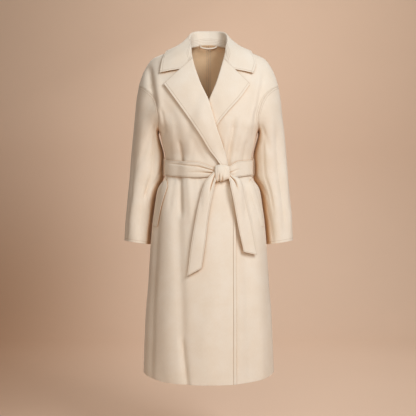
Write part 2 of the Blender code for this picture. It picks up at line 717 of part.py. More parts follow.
def collar_end(side):
    """The collar's end at the gorge, which follows the lapel's upper edge out to the notch."""
    turns = np.array([0.0, math.pi / 2, math.pi])
    rolled, _ = roll_points(side, np.array([GORGE_HEIGHT]), turns)
    fall, _ = lapel_surface(side, np.array([0.0]), np.array([0.2, COLLAR_NOTCH_SHARE]))
    tip_reach, tip_height = COLLAR_TIP[side]
    notch = fall[0, -1]
    tip, tip_normal = front_point(side, tip_reach, tip_height, COLLAR_TIP_LIFT)
    return np.stack([*rolled[0], fall[0, 0], notch, (notch + tip) / 2 + tip_normal * 0.0006, tip])


def collar_front(side, seam):
    """The collar's form where it comes down in front of the neck, between fold and gorge."""
    turns = np.array([math.pi / 4, math.pi / 2, math.pi])
    rolled, _ = roll_points(side, np.array([GORGE_HEIGHT / 2]), turns)
    rolled = rolled[0] + np.array([side * 0.0015, 0.0, 0.008]) * np.array([[0.6], [1.0], [1.0]])
    reach = np.array([0.1120, 0.1560])
    height = np.array([-0.0500, -0.0740])
    fall, _ = front_point(side, reach, height, np.array([0.0080, 0.0046]))
    return np.stack([seam, (seam + rolled[0]) / 2, *rolled, *fall])


def collar_stations(side):
    """Rows of the collar's form from the centre back to the gorge, seven points in each."""
    shares = np.array([row[0] for row in COLLAR] + [COLLAR_FRONT_SHARE, 1.0])
    seams, _ = neck_seam(side, shares)
    rows = []
    for seam, row in zip(seams, COLLAR):
        size = dict(zip(COLLAR_COLUMNS, row))
        fold = np.array([size["fold_reach"] * side, size["fold_depth"], size["fold_height"]])
        fall, edge = (
            body_point(
                side, size["facing"], angle_at(size[part + "_reach"], size[part + "_height"]),
                size[part + "_height"], size[part + "_lift"],
            )[0]
            for part in ("fall", "edge")
        )
        out = unit((fold - (0, 0.012, 0)) * (1, 1, 0))
        inner = fold - out * COLLAR_ROLL - (0, 0, 0.003)
        outer = fold + out * COLLAR_ROLL - (0, 0, 0.003)
        rows.append(np.stack([seam, (seam + inner) / 2, inner, fold, outer, fall, edge]))
    rows.append(collar_front(side, seams[-2]))
    rows.append(collar_end(side))
    return np.array(rows), shares


def build_collar(coat):
    at = np.array(COLLAR_SHARES)
    rows_each = len(at)
    halves = []
    seam_normals = []
    for side in (RIGHT, LEFT):
        stations, keys = collar_stations(side)
        path = np.empty((rows_each, stations.shape[1], 3))
        for point in range(stations.shape[1]):
            for axis in range(3):
                path[:, point, axis] = smooth(keys, stations[:, point, axis], at)
        seam, normal = neck_seam(side, at)
        path[:, 0] = seam
        halves.append(np.array([through(row, COLLAR_COLUMN_COUNT) for row in path]))
        seam_normals.append(normal)
    middle = np.concatenate([halves[0][::-1], halves[1][1:]])
    first = np.concatenate([seam_normals[0][::-1], seam_normals[1][1:]])
    normals = grid_normals(middle)
    normals *= np.sign(normals[rows_each - 1, 1, 1])
    normals[:, 0] = first
    middle = inset(middle, ("first_column",), COLLAR_SEAM_INSET)
    middle = inset(middle, ("first_row", "last_row"), COLLAR_END_INSET)
    add_wall("collar", middle, normals, WALL, coat)


def sleeve_ring(side, share, turns):
    """The plain rings of a sleeve at these shares of its length."""
    size = {name: look_up(SLEEVE, SLEEVE_COLUMNS, name, share) for name in SLEEVE_COLUMNS[1:]}
    across = np.cos(turns)[None, :]
    half_reach = (size["outer_reach"] - size["inner_reach"])[:, None] / 2
    half_height = (size["outer_height"] - size["inner_height"])[:, None] / 2
    reach = size["inner_reach"][:, None] + half_reach * (1 + across)
    height = size["inner_height"][:, None] + half_height * (1 + across)
    depth = size["middle"][:, None] - size["half_depth"][:, None] * np.sin(turns)[None, :]
    return np.stack([side * reach, depth, height], axis=-1)


def sleeve_point(side, share, turns):
    """The sleeve's tube, blended from the armhole seam."""
    loop, _ = armhole_loop(side, turns)
    first = sleeve_ring(side, np.zeros(1), turns)
    left = np.clip(1 - share / SLEEVE_FADE, 0, 1)[:, None, None] ** 2
    return sleeve_ring(side, share, turns) + (loop[None] - first) * left


def sleeve_folds(side, share, turns):
    """How far the sleeve's lengthwise folds move the cloth out."""
    total = np.zeros((len(share), len(turns)))
    for row in SLEEVE_FOLDS:
        fold = dict(zip(SLEEVE_FOLD_COLUMNS, row))
        if fold["side"] != side:
            continue
        length = fold["low_share"] - fold["top_share"]
        along = (share - fold["top_share"]) / length
        centre = fold["top_angle"] + (fold["low_angle"] - fold["top_angle"]) * along
        away = np.angle(np.exp(1j * (turns[None, :] - centre[:, None])))
        ends = ease(along / 0.35 + 0.2) * ease((1 - along) / 0.35 + 0.5)
        total += fold["depth"] * ends[:, None] * np.exp(-((away / fold["half_width"]) ** 2))
    return total * ease(share / 0.12)[:, None]


def build_sleeve(side, coat):
    share = np.linspace(0, 1, SLEEVE_RINGS) ** SLEEVE_RING_SPREAD
    turns = np.linspace(0, 2 * math.pi, 2 * ARMHOLE_STEPS + 1)
    middle = sleeve_point(side, share, turns)
    normals = grid_normals(middle, closed=True)
    normals *= side * np.sign(normals[-1, 0, 0])
    middle = middle + normals * sleeve_folds(side, share, turns)[..., None]
    normals[0] = armhole_loop(side, turns)[1]
    middle[0] += (side * 0.8 * SEAM_GAP, 0, -0.6 * SEAM_GAP)
    add_wall("sleeve_" + SIDE_NAME[side], middle, normals, WALL, coat, closed=True)


def coat_surface(around, height):
    """The coat's outermost cloth at a turn round the body: 0 in front, growing to the left."""
    half_pi = math.pi / 2
    over_end = 0.62
    points = np.empty(around.shape + (3,))
    normals = np.empty(around.shape + (3,))
    for side, facing, chosen, angle in (
        (RIGHT, FRONT, (around > -half_pi) & (around <= over_end), half_pi + around),
        (LEFT, FRONT, (around > over_end) & (around <= half_pi), half_pi - around),
        (LEFT, BACK, around > half_pi, around - half_pi),
        (RIGHT, BACK, around <= -half_pi, -around - half_pi),
    ):
        points[chosen], normals[chosen] = body_point(side, facing, angle[chosen], height[chosen])
    return points, normals


def belt_centre(around):
    """The belt's middle height: it dips towards the front."""
    return WAIST + BELT_RISE - BELT_DIP * (0.5 + 0.5 * np.cos(around)) ** 1.2


def build_belt(coat):
    """One long strip from the right of the knot, round the back, to the left of the knot."""
    end = KNOT_HALF_WIDTH + KNOT_SLANT + 2 * SEAM_GAP
    knot_left, knot_right = (
        math.pi / 2 - float(angle_at(KNOT_CENTRE[0] + way * end, WAIST)) for way in (1, -1)
    )
    around = np.linspace(knot_left, 2 * math.pi + knot_right, BELT_STEPS)
    from_left = ease((around - around[0]) / BELT_LEFT_FADE)
    share = np.minimum(from_left, ease((around[-1] - around) / BELT_RIGHT_FADE))
    half_height = BELT_HEIGHT / 2 * (BELT_END_SHARE + (1 - BELT_END_SHARE) * share)
    turned = np.angle(np.exp(1j * around))
    centre = belt_centre(turned)
    centre = centre + (1 - share) * (KNOT_CENTRE[1] - centre)
    surface, normals = coat_surface(turned, centre)
    flat = unit(normals * (1, 1, 0))
    lean = np.zeros(BELT_STEPS)
    for way in (-1, 1):
        edge, _ = coat_surface(turned, centre + way * half_height)
        lean = np.maximum(lean, np.sum((edge - surface) * flat, axis=-1))
    for _ in range(3):
        lean = np.maximum(lean, (np.roll(lean, 1) + np.roll(lean, -1)) / 2)
    lift = WALL / 2 + BELT_WALL / 2 + BELT_STANDOFF + lean
    middle = np.empty((BELT_STEPS, BELT_ROWS, 3))
    for index, (way, crease) in enumerate(zip(np.linspace(-1, 1, BELT_ROWS), BELT_CREASE)):
        middle[:, index] = surface + flat * (lift + crease)[:, None]
        middle[:, index, 2] = centre + way * half_height
    spread = np.repeat(flat[:, None], BELT_ROWS, axis=1)
    add_wall("belt_waist", middle, spread, BELT_WALL, coat)


def knot_slice(made, share, base):
    """One ring of the knot, rounded in front and flat where it lies on the belt."""
    size = {name: float(look_up(KNOT, KNOT_COLUMNS, name, share)) for name in KNOT_COLUMNS[1:]}
    x = KNOT_CENTRE[0] + (2 * share - 1) * KNOT_HALF_WIDTH
    z = KNOT_CENTRE[1] + size["drop"]
    ring = []
    for turn in np.linspace(0, 2 * math.pi, KNOT_POINTS, endpoint=False):
        out = size["half_thickness"] * (1 + signed_power(math.cos(turn), 0.8))
        up = size["half_height"] * signed_power(math.sin(turn), 0.85)
        ring.append(made.verts.new((x + KNOT_SLANT * math.sin(turn), base - out, z + up)))
    return ring


def build_knot(coat):
    """A wrapped lump of cloth, set just in front of the cloth behind it."""
    behind = KNOT_CENTRE[0] + KNOT_HALF_WIDTH * np.linspace(-1.1, 1.1, 9)
    cloth = [front_point(RIGHT, -behind, KNOT_CENTRE[1] + rise)[0] for rise in (-0.016, 0.0, 0.016)]
    base = np.min(np.array(cloth)[..., 1]) - WALL / 2 - SEAM_GAP
    made = bmesh.new()
    rings = [knot_slice(made, share, base) for share in np.linspace(0, 1, KNOT_SLICES)]
    for ring, following in zip(rings, rings[1:]):
        for index in range(KNOT_POINTS):
            after = (index + 1) % KNOT_POINTS
            made.faces.new((ring[index], ring[after], following[after], following[index]))
    made.faces.new(rings[0])
    made.faces.new(rings[-1])
    bmesh.ops.recalc_face_normals(made, faces=made.faces[:])
    add_object("belt_knot", made, coat)


def build_tail(side, coat):
    """A free end of the belt, hanging just off the skirt."""
    share = np.linspace(0, 1, TAIL_ROWS)
    across = np.linspace(-1, 1, TAIL_COLUMN_COUNT)[None, :]
    size = {name: look_up(BELT_TAILS[side], TAIL_COLUMNS, name, share) for name in TAIL_COLUMNS[1:]}
    path = np.stack([size["middle_x"], size["height"]], axis=1)
    along = unit(np.gradient(path, axis=0))
    sideways = np.stack([-along[:, 1], along[:, 0]], axis=1)
    spread = size["half_width"][:, None] * across
    flat = path[:, None] + sideways[:, None] * spread[..., None]
    slant = TAIL_END_SLANT[side] * across * ease((share - 0.7) / 0.3)[:, None]
    surface, normals = front_point(RIGHT, -flat[..., 0], flat[..., 1] + slant)
    clearance = size["clearance"][:, None] + TAIL_BOW * (1 - across**2)
    facing = unit(normals * (1, 1, TAIL_LEAN))
    middle = surface + facing * clearance[..., None]
    add_wall("belt_tail_" + SIDE_NAME[side], middle, facing, TAIL_WALL, coat)


def build_belt_loop(side, coat):
    """A narrow carrier that holds the belt at the side seam."""
    turn = np.linspace(-1, 1, LOOP_ROWS)
    heights = float(belt_centre(math.pi / 2)) + LOOP_HALF_HEIGHT * turn
    bridge = ease((1 - np.abs(turn)) / 0.28)
    base, _ = body_point(side, FRONT, np.zeros(LOOP_ROWS), heights)
    on_cloth = np.abs(base[:, 0]) + WALL / 2 + LOOP_WALL / 2 + LOOP_STANDOFF
    over_belt = WAIST_HALF_WIDTH + WALL / 2 + BELT_WALL + LOOP_CLEARANCE
    reach = np.maximum(on_cloth, LOOP_FOOT_REACH + (over_belt - LOOP_FOOT_REACH) * bridge)
    middle = np.empty((LOOP_ROWS, 3, 3))
    for index, shift in enumerate((-LOOP_WIDTH / 2, 0, LOOP_WIDTH / 2)):
        depth = np.full(LOOP_ROWS, LOOP_MIDDLE + shift)
        middle[:, index] = np.stack([side * reach, depth, heights], axis=1)
    normals = grid_normals(middle)
    normals *= side * np.sign(normals[LOOP_ROWS // 2, 1, 0])
    add_wall("belt_loop_" + SIDE_NAME[side], middle, normals, LOOP_WALL, coat)


def build_welt(side, coat):
    """A slanted pocket welt, made from the points of the front that it lies on."""
    inner, heights = np.linspace(WELT_TOP, WELT_LOW, WELT_ROWS).T
    start = angle_at(inner, heights)
    step = 0.05
    nearby, _ = body_point(side, FRONT, start - step, heights)
    distance = np.linalg.norm(nearby - front_point(side, inner, heights)[0], axis=-1)
    across = np.linspace(0, 1, WELT_COLUMNS)
    angle = start[:, None] - (step * WELT_WIDTH / distance)[:, None] * across[None, :]
    height = np.broadcast_to(heights[:, None], angle.shape)
    lift = WALL / 2 + WELT_WALL / 2 + WELT_STANDOFF
    middle, normals = body_point(side, FRONT, angle, height, lift)
    add_wall("pocket_welt_" + SIDE_NAME[side], middle, normals, WELT_WALL, coat)


def build_hanger_loop(coat):
    """A short strip across the inside of the back neck, which stands off it for a hook."""
    share = np.linspace(-1, 1, HANGER_ROWS)
    x = HANGER_HALF_WIDTH * share
    depth = HANGER_DEPTH - HANGER_BOW * (1 - share**2)
    height = HANGER_HEIGHT - HANGER_SAG * (1 - share**2) ** 0.5
    middle = np.empty((HANGER_ROWS, 3, 3))
    for index, shift in enumerate((-HANGER_STRIP / 2, 0, HANGER_STRIP / 2)):
        middle[:, index] = np.stack([x, depth, height + shift], axis=1)
    normals = np.zeros(middle.shape)
    normals[..., 1] = 1
    add_wall("hanger_loop", middle, normals, HANGER_WALL, coat)


def clear_scene():
    for old in list(bpy.data.objects):
        bpy.data.objects.remove(old, do_unlink=True)


def main():
    clear_scene()
    coat = bpy.data.collections.new("wrap_coat")
    bpy.context.scene.collection.children.link(coat)
    for side in (RIGHT, LEFT):
        build_back(side, coat)
        build_front(side, coat)
        build_lapel(side, coat)
        build_sleeve(side, coat)
        build_tail(side, coat)
        build_belt_loop(side, coat)
        build_welt(side, coat)
    build_collar(coat)
    build_belt(coat)
    build_knot(coat)
    build_hanger_loop(coat)


main()
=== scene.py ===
"""The looks of a long belted wrap coat in double-faced wool.

Each cut piece of the coat is one cloth shell: a flat grid is moved onto the worn form, with its
creases, and thickened. Metres, +Z up, the front faces -Y and +X is the wearer's left. The origin
is midway between the points where the shoulders meet the neck.
"""

import math

import bmesh
import bpy
import numpy as np
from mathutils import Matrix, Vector


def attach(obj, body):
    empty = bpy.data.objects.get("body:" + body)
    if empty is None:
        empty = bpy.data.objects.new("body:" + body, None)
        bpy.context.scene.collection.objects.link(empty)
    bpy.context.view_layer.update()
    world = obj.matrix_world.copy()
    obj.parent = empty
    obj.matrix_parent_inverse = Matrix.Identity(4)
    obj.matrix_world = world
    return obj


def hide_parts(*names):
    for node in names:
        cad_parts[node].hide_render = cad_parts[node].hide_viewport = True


bl_info = {
    "name": "Wrap Coat",
    "version": (1, 0, 0),
    "blender": (4, 5, 0),
    "location": "3D View > Sidebar > Coat",
    "description": "Drapes, sews and finishes a long belted wrap coat",
    "category": "Add Mesh",
}

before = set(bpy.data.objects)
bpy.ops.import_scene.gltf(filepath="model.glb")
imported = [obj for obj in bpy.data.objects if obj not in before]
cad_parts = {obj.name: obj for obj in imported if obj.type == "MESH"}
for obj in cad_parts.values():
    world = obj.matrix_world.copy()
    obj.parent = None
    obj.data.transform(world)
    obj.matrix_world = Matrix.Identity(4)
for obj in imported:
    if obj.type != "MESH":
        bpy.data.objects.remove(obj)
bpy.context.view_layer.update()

RIGHT = -1
LEFT = 1
FRONT = -1
BACK = 1
SIDE_NAME = {RIGHT: "right", LEFT: "left"}

# Levels and widths of the worn form.
HEM = -1.132
UNDERARM = -0.290
SHOULDER_TIP = -0.140
WAIST = -0.413
WAIST_HALF_WIDTH = 0.1465
SHOULDER_REACH = 0.2395
UNDERARM_REACH = 0.1700
NECK_BACK_RISE = 0.016
NECK_RISE_FADE = 0.080
NECK_MIDDLE = 0.012
NECK_TURN = 0.9
FOLD_FREE_ANGLE = 0.06
FOLD_FADE_ANGLE = 0.30
UNDERARM_TURN = 0.0015
UNDERARM_FADE = 0.030
ARMHOLE_TURN_HEIGHT = -0.245
ARMHOLE_TURN_LENGTH = 0.045

# How far up and down the levels of the form are evened out, and how much each of them counts.
BODY_EASE_REACH = 0.014
BODY_EASE_TOP = -0.060
BODY_EASE_FADE = 0.040
BODY_EASE_TAPS = ((-1.0, 0.12), (-0.5, 0.24), (0.0, 0.28), (0.5, 0.24), (1.0, 0.12))
HEM_SIDE_RISE = 0.015
HEM_RISE_FADE = 0.16

# The two fronts, which cross on the chest and lie on each other in the skirt.
BREAK_HEIGHT = -0.416
GORGE_HEIGHT = -0.060
GORGE_FADE = 0.055
EDGE_FADE = 0.13
OVER_EDGE = 0.089
UNDER_EDGE = 0.085
OVER_CHEST_LIFT = 0.0056
OVER_SKIRT_LIFT = 0.0024
UNDER_CHEST_DROP = 0.0036
UNDER_SKIRT_DROP = 0.0024
LAYER_HEIGHT = -0.462
LAYER_FADE = 0.05
LAYER_TOP_HEIGHT = -0.105
LAYER_TOP_FADE = 0.10
LAYER_CHEST_END = 0.045
LAYER_CHEST_FADE = 0.035
LAYER_SKIRT_END = 0.030
LAYER_SKIRT_FADE = 0.028
FACING_START = 0.02
FACING_FADE = 0.05
LAPEL_ROLL = {RIGHT: 0.0036, LEFT: 0.0026}
LAPEL_EDGE_LIFT = {RIGHT: 0.0098, LEFT: 0.0066}
LAPEL_BELLY = {RIGHT: 0.0022, LEFT: 0.0010}

# The collar.
COLLAR_ROLL = 0.0034
COLLAR_FRONT_SHARE = 0.85
COLLAR_NOTCH_SHARE = 0.41
COLLAR_TIP_LIFT = 0.0098
COLLAR_ROLL_DROP = 0.003
NECK_BACK_SHARE = 0.5
NECK_FRONT_SHARE = 0.2
NECK_ROLL_SHARE = 0.3
COLLAR_NECK_DEPTH = 0.012
COLLAR_END_CROWN = 0.0006
COLLAR_FRONT_SHIFT = (0.0015, 0.0, 0.008)
COLLAR_FRONT_FALL = {"reach": (0.1120, 0.1560), "height": (-0.0500, -0.0740), "lift": (0.0110, 0.0098)}

# The belt and the trims.
BELT_HEIGHT = 0.052
BELT_RISE = 0.0065
BELT_DIP = 0.0225
BELT_STANDOFF = 0.0014
BELT_END_SHARE = {RIGHT: 0.48, LEFT: 0.68}
BELT_LEFT_FADE = 0.36
BELT_RIGHT_FADE = 0.42
BELT_CROWN = 0.0004
BELT_SIDE_SHARE = 0.35
BELT_EDGE_THINNING = 0.30
BELT_EDGE_SPREAD = 0.07
OVER_FRONT_TURN = 0.62
KNOT_CENTRE = (0.0412, -0.4405)
KNOT_HALF_WIDTH = 0.0245
KNOT_BIAS = 0.0032
KNOT_NARROWING = 0.04
KNOT_LOW_RISE = 0.0095
KNOT_TOP_DROP = 0.0050
KNOT_SIDE_SHARE = 0.5
TAIL_BOW = 0.0018
TAIL_LEAN = 0.3
TAIL_WAVE = 0.0010
TAIL_FOLD_WIDTH = 0.15
TAIL_FOLD_LENGTH = 0.30
LOOP_WIDTH = 0.012
LOOP_HALF_HEIGHT = 0.036
LOOP_FOOT_REACH = 0.140
LOOP_CLEARANCE = 0.0050
LOOP_MIDDLE = -0.002
LOOP_BRIDGE = 0.28
LOOP_SWAY = 0.0006
LOOP_CROWN = 0.0005
WELT_WIDTH = 0.026
WELT_TOP = (0.1255, -0.459)
WELT_LOW = (0.1725, -0.620)
WELT_SWELL = 0.0007
WELT_SINK_SHARE = 0.35
WELT_SLANT_SHARE = 0.22
HANGER_HALF_WIDTH = 0.0305
HANGER_HEIGHT = 0.0145
HANGER_SAG = 0.011
HANGER_DEPTH = 0.0552
HANGER_BOW = 0.0030
HANGER_CROWN = 0.0006

# Cloth, seams and stitches.
WALL = 0.0024
BELT_WALL = 0.0032
TAIL_WALL = 0.0036
KNOT_WALL = 0.0034
LOOP_WALL = 0.0020
LOOP_STANDOFF = 0.0014
WELT_WALL = 0.0020
WELT_STANDOFF = {RIGHT: 0.0021, LEFT: 0.0003}
WELT_SINK = {RIGHT: 0.0, LEFT: 0.0027}
WELT_SLANT = 0.014
HANGER_WALL = 0.0026
HANGER_STRIP = 0.0050
EDGE_ROUNDNESS = 0.72
SEAM_DEPTH = 0.0008
SEAM_SPREAD = 0.0022
SEAM_STITCH = 0.0070
EDGE_STITCH = 0.0095
FACING_RISE = 0.0026
EDGE_CURL = -0.0014
EDGE_CURL_REACH = 0.009
LAPEL_STITCH = 0.0070
BELT_STITCH = 0.0030
CUFF_HEM = 0.0080
CUFF_DIP = 0.0004
CUFF_DIP_SPREAD = 0.0016
SEAM_LINE = 0.0015
TRIM_STITCH = 0.0012
LOOP_END_STITCH = 0.0040
COLLAR_END_STITCH = 0.0055
WELT_STITCH = 0.0016
HANGER_STITCH = 0.0020
STAND_ROWS = (0.006, 0.012, 0.018, 0.024)
STITCH_PITCH = 0.0032
THREAD_WIDTH = 0.0005
GROOVE_WIDTH = 0.0015
BELT_TUCK = 0.010
BELT_EVEN = 10
BELT_WAVE = 0.0012
TAIL_FOLD = -0.0150
TAIL_FOLD_PLACE = {RIGHT: 0.30, LEFT: -0.05}

# Grid sizes, and how the lines of a grid crowd together beside a seam or a cut edge.
PANEL_ROWS = 158
ARMHOLE_STEPS = 40
SHOULDER_ROWS = 44
FRONT_COLUMNS = 66
BACK_COLUMNS = 50
SLEEVE_ROWS = 104
LAPEL_ROWS = 68
LAPEL_FALL_COLUMNS = 26
LAPEL_ROLL_STEPS = 8
LAPEL_RELAX = 4
COLLAR_ROWS = 64
COLLAR_COLUMN_COUNT = 38
COLLAR_RELAX = 10
BELT_STEPS = 190
BELT_ROWS = 33
KNOT_ROWS = 64
KNOT_COLUMN_COUNT = 56
TAIL_ROWS = 76
TAIL_COLUMN_COUNT = 29
LOOP_ROWS = 33
LOOP_COLUMNS = 6
WELT_ROWS = 44
WELT_COLUMNS = 9
HANGER_ROWS = 41
HANGER_COLUMNS = 7
SEAM_SHARES = (0.004, 0.008, 0.013)
EDGE_SHARES = (0.0015, 0.005, 0.011, 0.017, 0.0205, 0.0225, 0.0245, 0.0265, 0.0285, 0.032, 0.042)
LAPEL_END_SHARES = (0.004, 0.009)
LAPEL_EDGE_SHARES = (0.010, 0.022, 0.04)
SLEEVE_TOP_SHARES = (0.003, 0.006, 0.011)
CUFF_SHARES = (0.003, 0.008)
TAIL_END_SHARES = (0.005, 0.012)
TAIL_SIDE_SHARES = (0.02, 0.05)
WELT_END_SHARES = (0.006, 0.014)
WELT_SIDE_SHARES = (0.03, 0.07)

# Small pleats at the belt: the share, wave length and start of each wave, and how much of the
# phase of the front or the back it takes.
GATHER_WAVES = ((0.50, 0.029, 1.3, 1.0), (0.35, 0.043, 0.0, 4.0), (0.40, 0.071, 0.6, 1.0))
GATHER_PHASE = {FRONT: 0.7, BACK: 2.9}
GATHER_START = 0.016
GATHER_RISE = 0.018
GATHER_FULL = 0.03
GATHER_FADE_ABOVE = 0.040
GATHER_FADE_BELOW = 0.070
GATHER_CROWDING_ABOVE = 1.12
GATHER_CROWDING_BELOW = 0.94
FOLD_END_SHARE = 0.3

# Ripples of hanging cloth: the share and the two wave lengths of each, and its phase.
RIPPLE_WAVES = ((0.6, 0.118, 0.37, 1.0), (0.4, 0.071, -0.23, 1.7))
RIPPLE_PHASE = {FRONT: 0.4, BACK: 2.1}

# The wool: how fine its fibres, patches and ribs are, and how much each counts in relief and tone.
LAY_SCALE = (520.0, 75.0, 1.0)
SLUB_SCALE = (430.0, 110.0, 1.0)
PATCH_SCALE = 17.0
RIB_SCALE = 150.0
RIB_TURN = (0.0, 0.0, 0.96)
NAP_RELIEF, LAY_RELIEF, RIB_RELIEF = 0.34, 0.26, 0.10
GROOVE_RELIEF, THREAD_RELIEF = -0.75, 0.45
PATCH_TONE, SLUB_TONE, NAP_TONE = 0.55, 0.30, 0.25
# How strongly painted shade darkens a stitched groove.
GROOVE_SHADE = 0.55
# How the painted shade in folds and under edges is sampled, and the range of openness over which it
# fades out.
PAINTED_SHADE_SAMPLES = 8
TONE_RANGE = (0.36, 0.76)
PAINTED_SHADE_OPEN_RANGE = (0.15, 0.95)
NAP_RANGE = (0.3, 0.7)
WOOL_ROUGHNESS = (0.82, 0.95)
WOOL_SPECULAR = 0.25
SHEEN_ROUGHNESS = 0.45
SHEEN_TINT = (1.0, 0.95, 0.88, 1.0)
RELIEF_DEPTH = 0.001

# The stage.
CAMERA_PLACE = (-0.002, -2.820, -0.557)
FLOOR_Z = -1.400
WALL_Y = 3.60
WALL_TOP = 4.0
STAGE_REACH = 4.5
SWEEP_RADIUS = 1.30
SWEEP_STEPS = 25
# A pool of painted light on the backdrop: its middle and its reach.
PAINTED_LIGHT_PLACE = (0.10, 0.0, -0.60)
PAINTED_LIGHT_REACH = 2.75
# Painted shade towards the lower left of the backdrop: its middle, its reach, its core and the tint it
# multiplies in.
CORNER_SHADE_PLACE = (-1.85, 0.0, -1.55)
CORNER_SHADE_REACH = 2.0
CORNER_SHADE_CORE = 0.2
CORNER_SHADE_TINT = (0.58, 0.47, 0.39, 1.0)
CLOUD_SCALE = 1.3
CLOUD_RANGE = (0.3, 0.7)
CLOUD_DEPTH = 0.03
PAINT_ROUGHNESS = 0.95
PAINT_SPECULAR = 0.1
SKY_COLOUR = (1.0, 0.85, 0.72, 1.0)
SENSOR_WIDTH = 36.0

# Each light's name, its power setting, its width and height, its place, its aim and its colour.
LIGHTS = (
    ("key_light", "key_power", (1.2, 1.3), (1.50, -2.20, 1.20), (0, 0, -0.20), (0.985, 1.03, 1.075)),
    ("fill_light", "fill_power", (1.3, 1.3), (-0.40, -3.45, 0.15), (0, 0, -0.3), (1.0, 0.955, 0.89)),
    ("back_light", "back_power", (1.4, 1.0), (-1.1, 2.5, 1.75), (0, 0, -0.45), (1.0, 1.0, 1.0)),
    ("wall_light", "wall_power", (2.4, 0.5), (0.5, 1.3, 2.3), (0.4, 3.6, -0.7), (1.0, 0.98, 0.95)),
)

# The plain body, a row for each level: half the width, and the depth in front of and behind
# its middle line. Squareness 2 is an ellipse.
BODY_COLUMNS = ("height", "half_width", "front_depth", "back_depth", "middle", "squareness")
BODY = (
    (HEM, 0.2230, 0.172, 0.160, 0.000, 2.10),
    (-1.000, 0.2190, 0.164, 0.152, 0.000, 2.10),
    (-0.910, 0.2148, 0.158, 0.146, 0.000, 2.10),
    (-0.840, 0.2085, 0.152, 0.141, 0.000, 2.10),
    (-0.683, 0.1985, 0.137, 0.131, 0.002, 2.15),
    (-0.610, 0.1925, 0.130, 0.127, 0.003, 2.15),
    (-0.550, 0.1845, 0.124, 0.121, 0.003, 2.15),
    (-0.495, 0.1755, 0.118, 0.112, 0.003, 2.20),
    (-0.475, 0.1660, 0.114, 0.106, 0.003, 2.20),
    (-0.453, WAIST_HALF_WIDTH, 0.107, 0.096, 0.003, 2.20),
    (-0.380, WAIST_HALF_WIDTH, 0.106, 0.095, 0.002, 2.20),
    (-0.366, 0.1505, 0.1085, 0.099, 0.002, 2.30),
    (-0.345, 0.1565, 0.1130, 0.105, 0.001, 2.45),
    (-0.322, 0.1610, 0.1175, 0.109, 0.000, 2.65),
    (UNDERARM, UNDERARM_REACH, 0.1220, 0.113, 0.000, 2.90),
    (-0.275, 0.1890, 0.1240, 0.114, 0.000, 2.65),
    (-0.262, 0.2035, 0.1245, 0.115, 0.000, 2.50),
    (-0.221, 0.2370, 0.123, 0.116, 0.000, 2.40),
    (-0.182, 0.2465, 0.119, 0.115, 0.000, 2.40),
    (SHOULDER_TIP, SHOULDER_REACH, 0.111, 0.110, 0.001, 2.35),
    (-0.091, 0.2240, 0.094, 0.098, 0.003, 2.25),
    (-0.067, 0.2110, 0.084, 0.090, 0.004, 2.20),
    (-0.046, 0.1950, 0.074, 0.082, 0.006, 2.15),
    (-0.032, 0.1700, 0.066, 0.075, 0.008, 2.10),
    (-0.014, 0.1150, 0.056, 0.064, 0.010, 2.10),
    (0.000, 0.0640, 0.047, 0.050, 0.012, 2.20),
)

# The armhole seam, seen from the front: how far it lies from the middle.
ARMHOLE_COLUMNS = ("height", "reach")
ARMHOLE = (
    (UNDERARM, UNDERARM_REACH),
    (-0.275, 0.1672),
    (-0.262, 0.1665),
    (-0.221, 0.1735),
    (-0.182, 0.1900),
    (-0.155, 0.2170),
    (SHOULDER_TIP, SHOULDER_REACH),
)

# The roll line of each front. Reach is counted towards that front's own side.
ROLL_COLUMNS = ("height", "reach")
ROLL_LINE = {
    RIGHT: (
        (-0.424, -0.0612),
        (-0.408, -0.0574),
        (-0.349, -0.0425),
        (-0.300, -0.0255),
        (-0.234, -0.0058),
        (-0.200, 0.0050),
        (-0.173, 0.0170),
        (-0.147, 0.0293),
        (-0.112, 0.0420),
        (-0.077, 0.0525),
        (-0.045, 0.0585),
        (0.000, 0.0615),
    ),
    LEFT: (
        (-0.424, -0.0612),
        (-0.408, -0.0574),
        (-0.349, -0.0439),
        (-0.300, -0.0273),
        (-0.234, -0.0074),
        (-0.200, 0.0042),
        (-0.173, 0.0156),
        (-0.147, 0.0268),
        (-0.112, 0.0378),
        (-0.077, 0.0475),
        (-0.045, 0.0555),
        (0.000, 0.0605),
    ),
}

# The lapel's free edge, from its tip to the break.
LAPEL_COLUMNS = ("share", "reach", "height")
LAPEL_EDGE = {
    RIGHT: (
        (0.00, 0.1467, -0.1459),
        (0.28, 0.0960, -0.2161),
        (0.46, 0.0654, -0.2589),
        (0.72, 0.0181, -0.3279),
        (0.86, -0.0055, -0.3665),
        (0.93, -0.0195, -0.3880),
        (1.00, -0.0415, -0.4215),
    ),
    LEFT: (
        (0.00, 0.1364, -0.1459),
        (0.20, 0.1038, -0.1923),
        (0.36, 0.0704, -0.2300),
        (0.53, 0.0373, -0.2702),
        (0.78, -0.0020, -0.3300),
        (1.00, -0.0400, -0.4040),
    ),
}

# Half the collar, from the centre back to the neck's front: its fold, then the middle and the
# free edge of its fall, which lie a lift above the garment at a reach and a height on it.
COLLAR_COLUMNS = (
    "share", "facing", "fold_reach", "fold_depth", "fold_height",
    "fall_reach", "fall_height", "fall_lift", "edge_reach", "edge_height", "edge_lift",
)
COLLAR = (
    (0.00, BACK, 0.0000, 0.078, 0.0690, 0.000, -0.008, 0.016, 0.0000, -0.036, 0.0052),
    (0.17, BACK, 0.0330, 0.071, 0.0672, 0.045, -0.009, 0.015, 0.0600, -0.035, 0.0054),
    (0.34, BACK, 0.0550, 0.047, 0.0590, 0.079, -0.0115, 0.015, 0.1050, -0.0315, 0.0054),
    (0.43, BACK, 0.0625, 0.030, 0.0500, 0.092, -0.0115, 0.015, 0.1270, -0.0270, 0.0062),
    (0.50, FRONT, 0.0660, 0.014, 0.0400, 0.099, -0.0105, 0.014, 0.1390, -0.0218, 0.0064),
    (0.70, FRONT, 0.0655, -0.010, 0.0180, 0.104, -0.0210, 0.014, 0.1480, -0.0420, 0.0080),
)
COLLAR_TIP = {RIGHT: (0.1592, -0.1073), LEFT: (0.1467, -0.1094)}

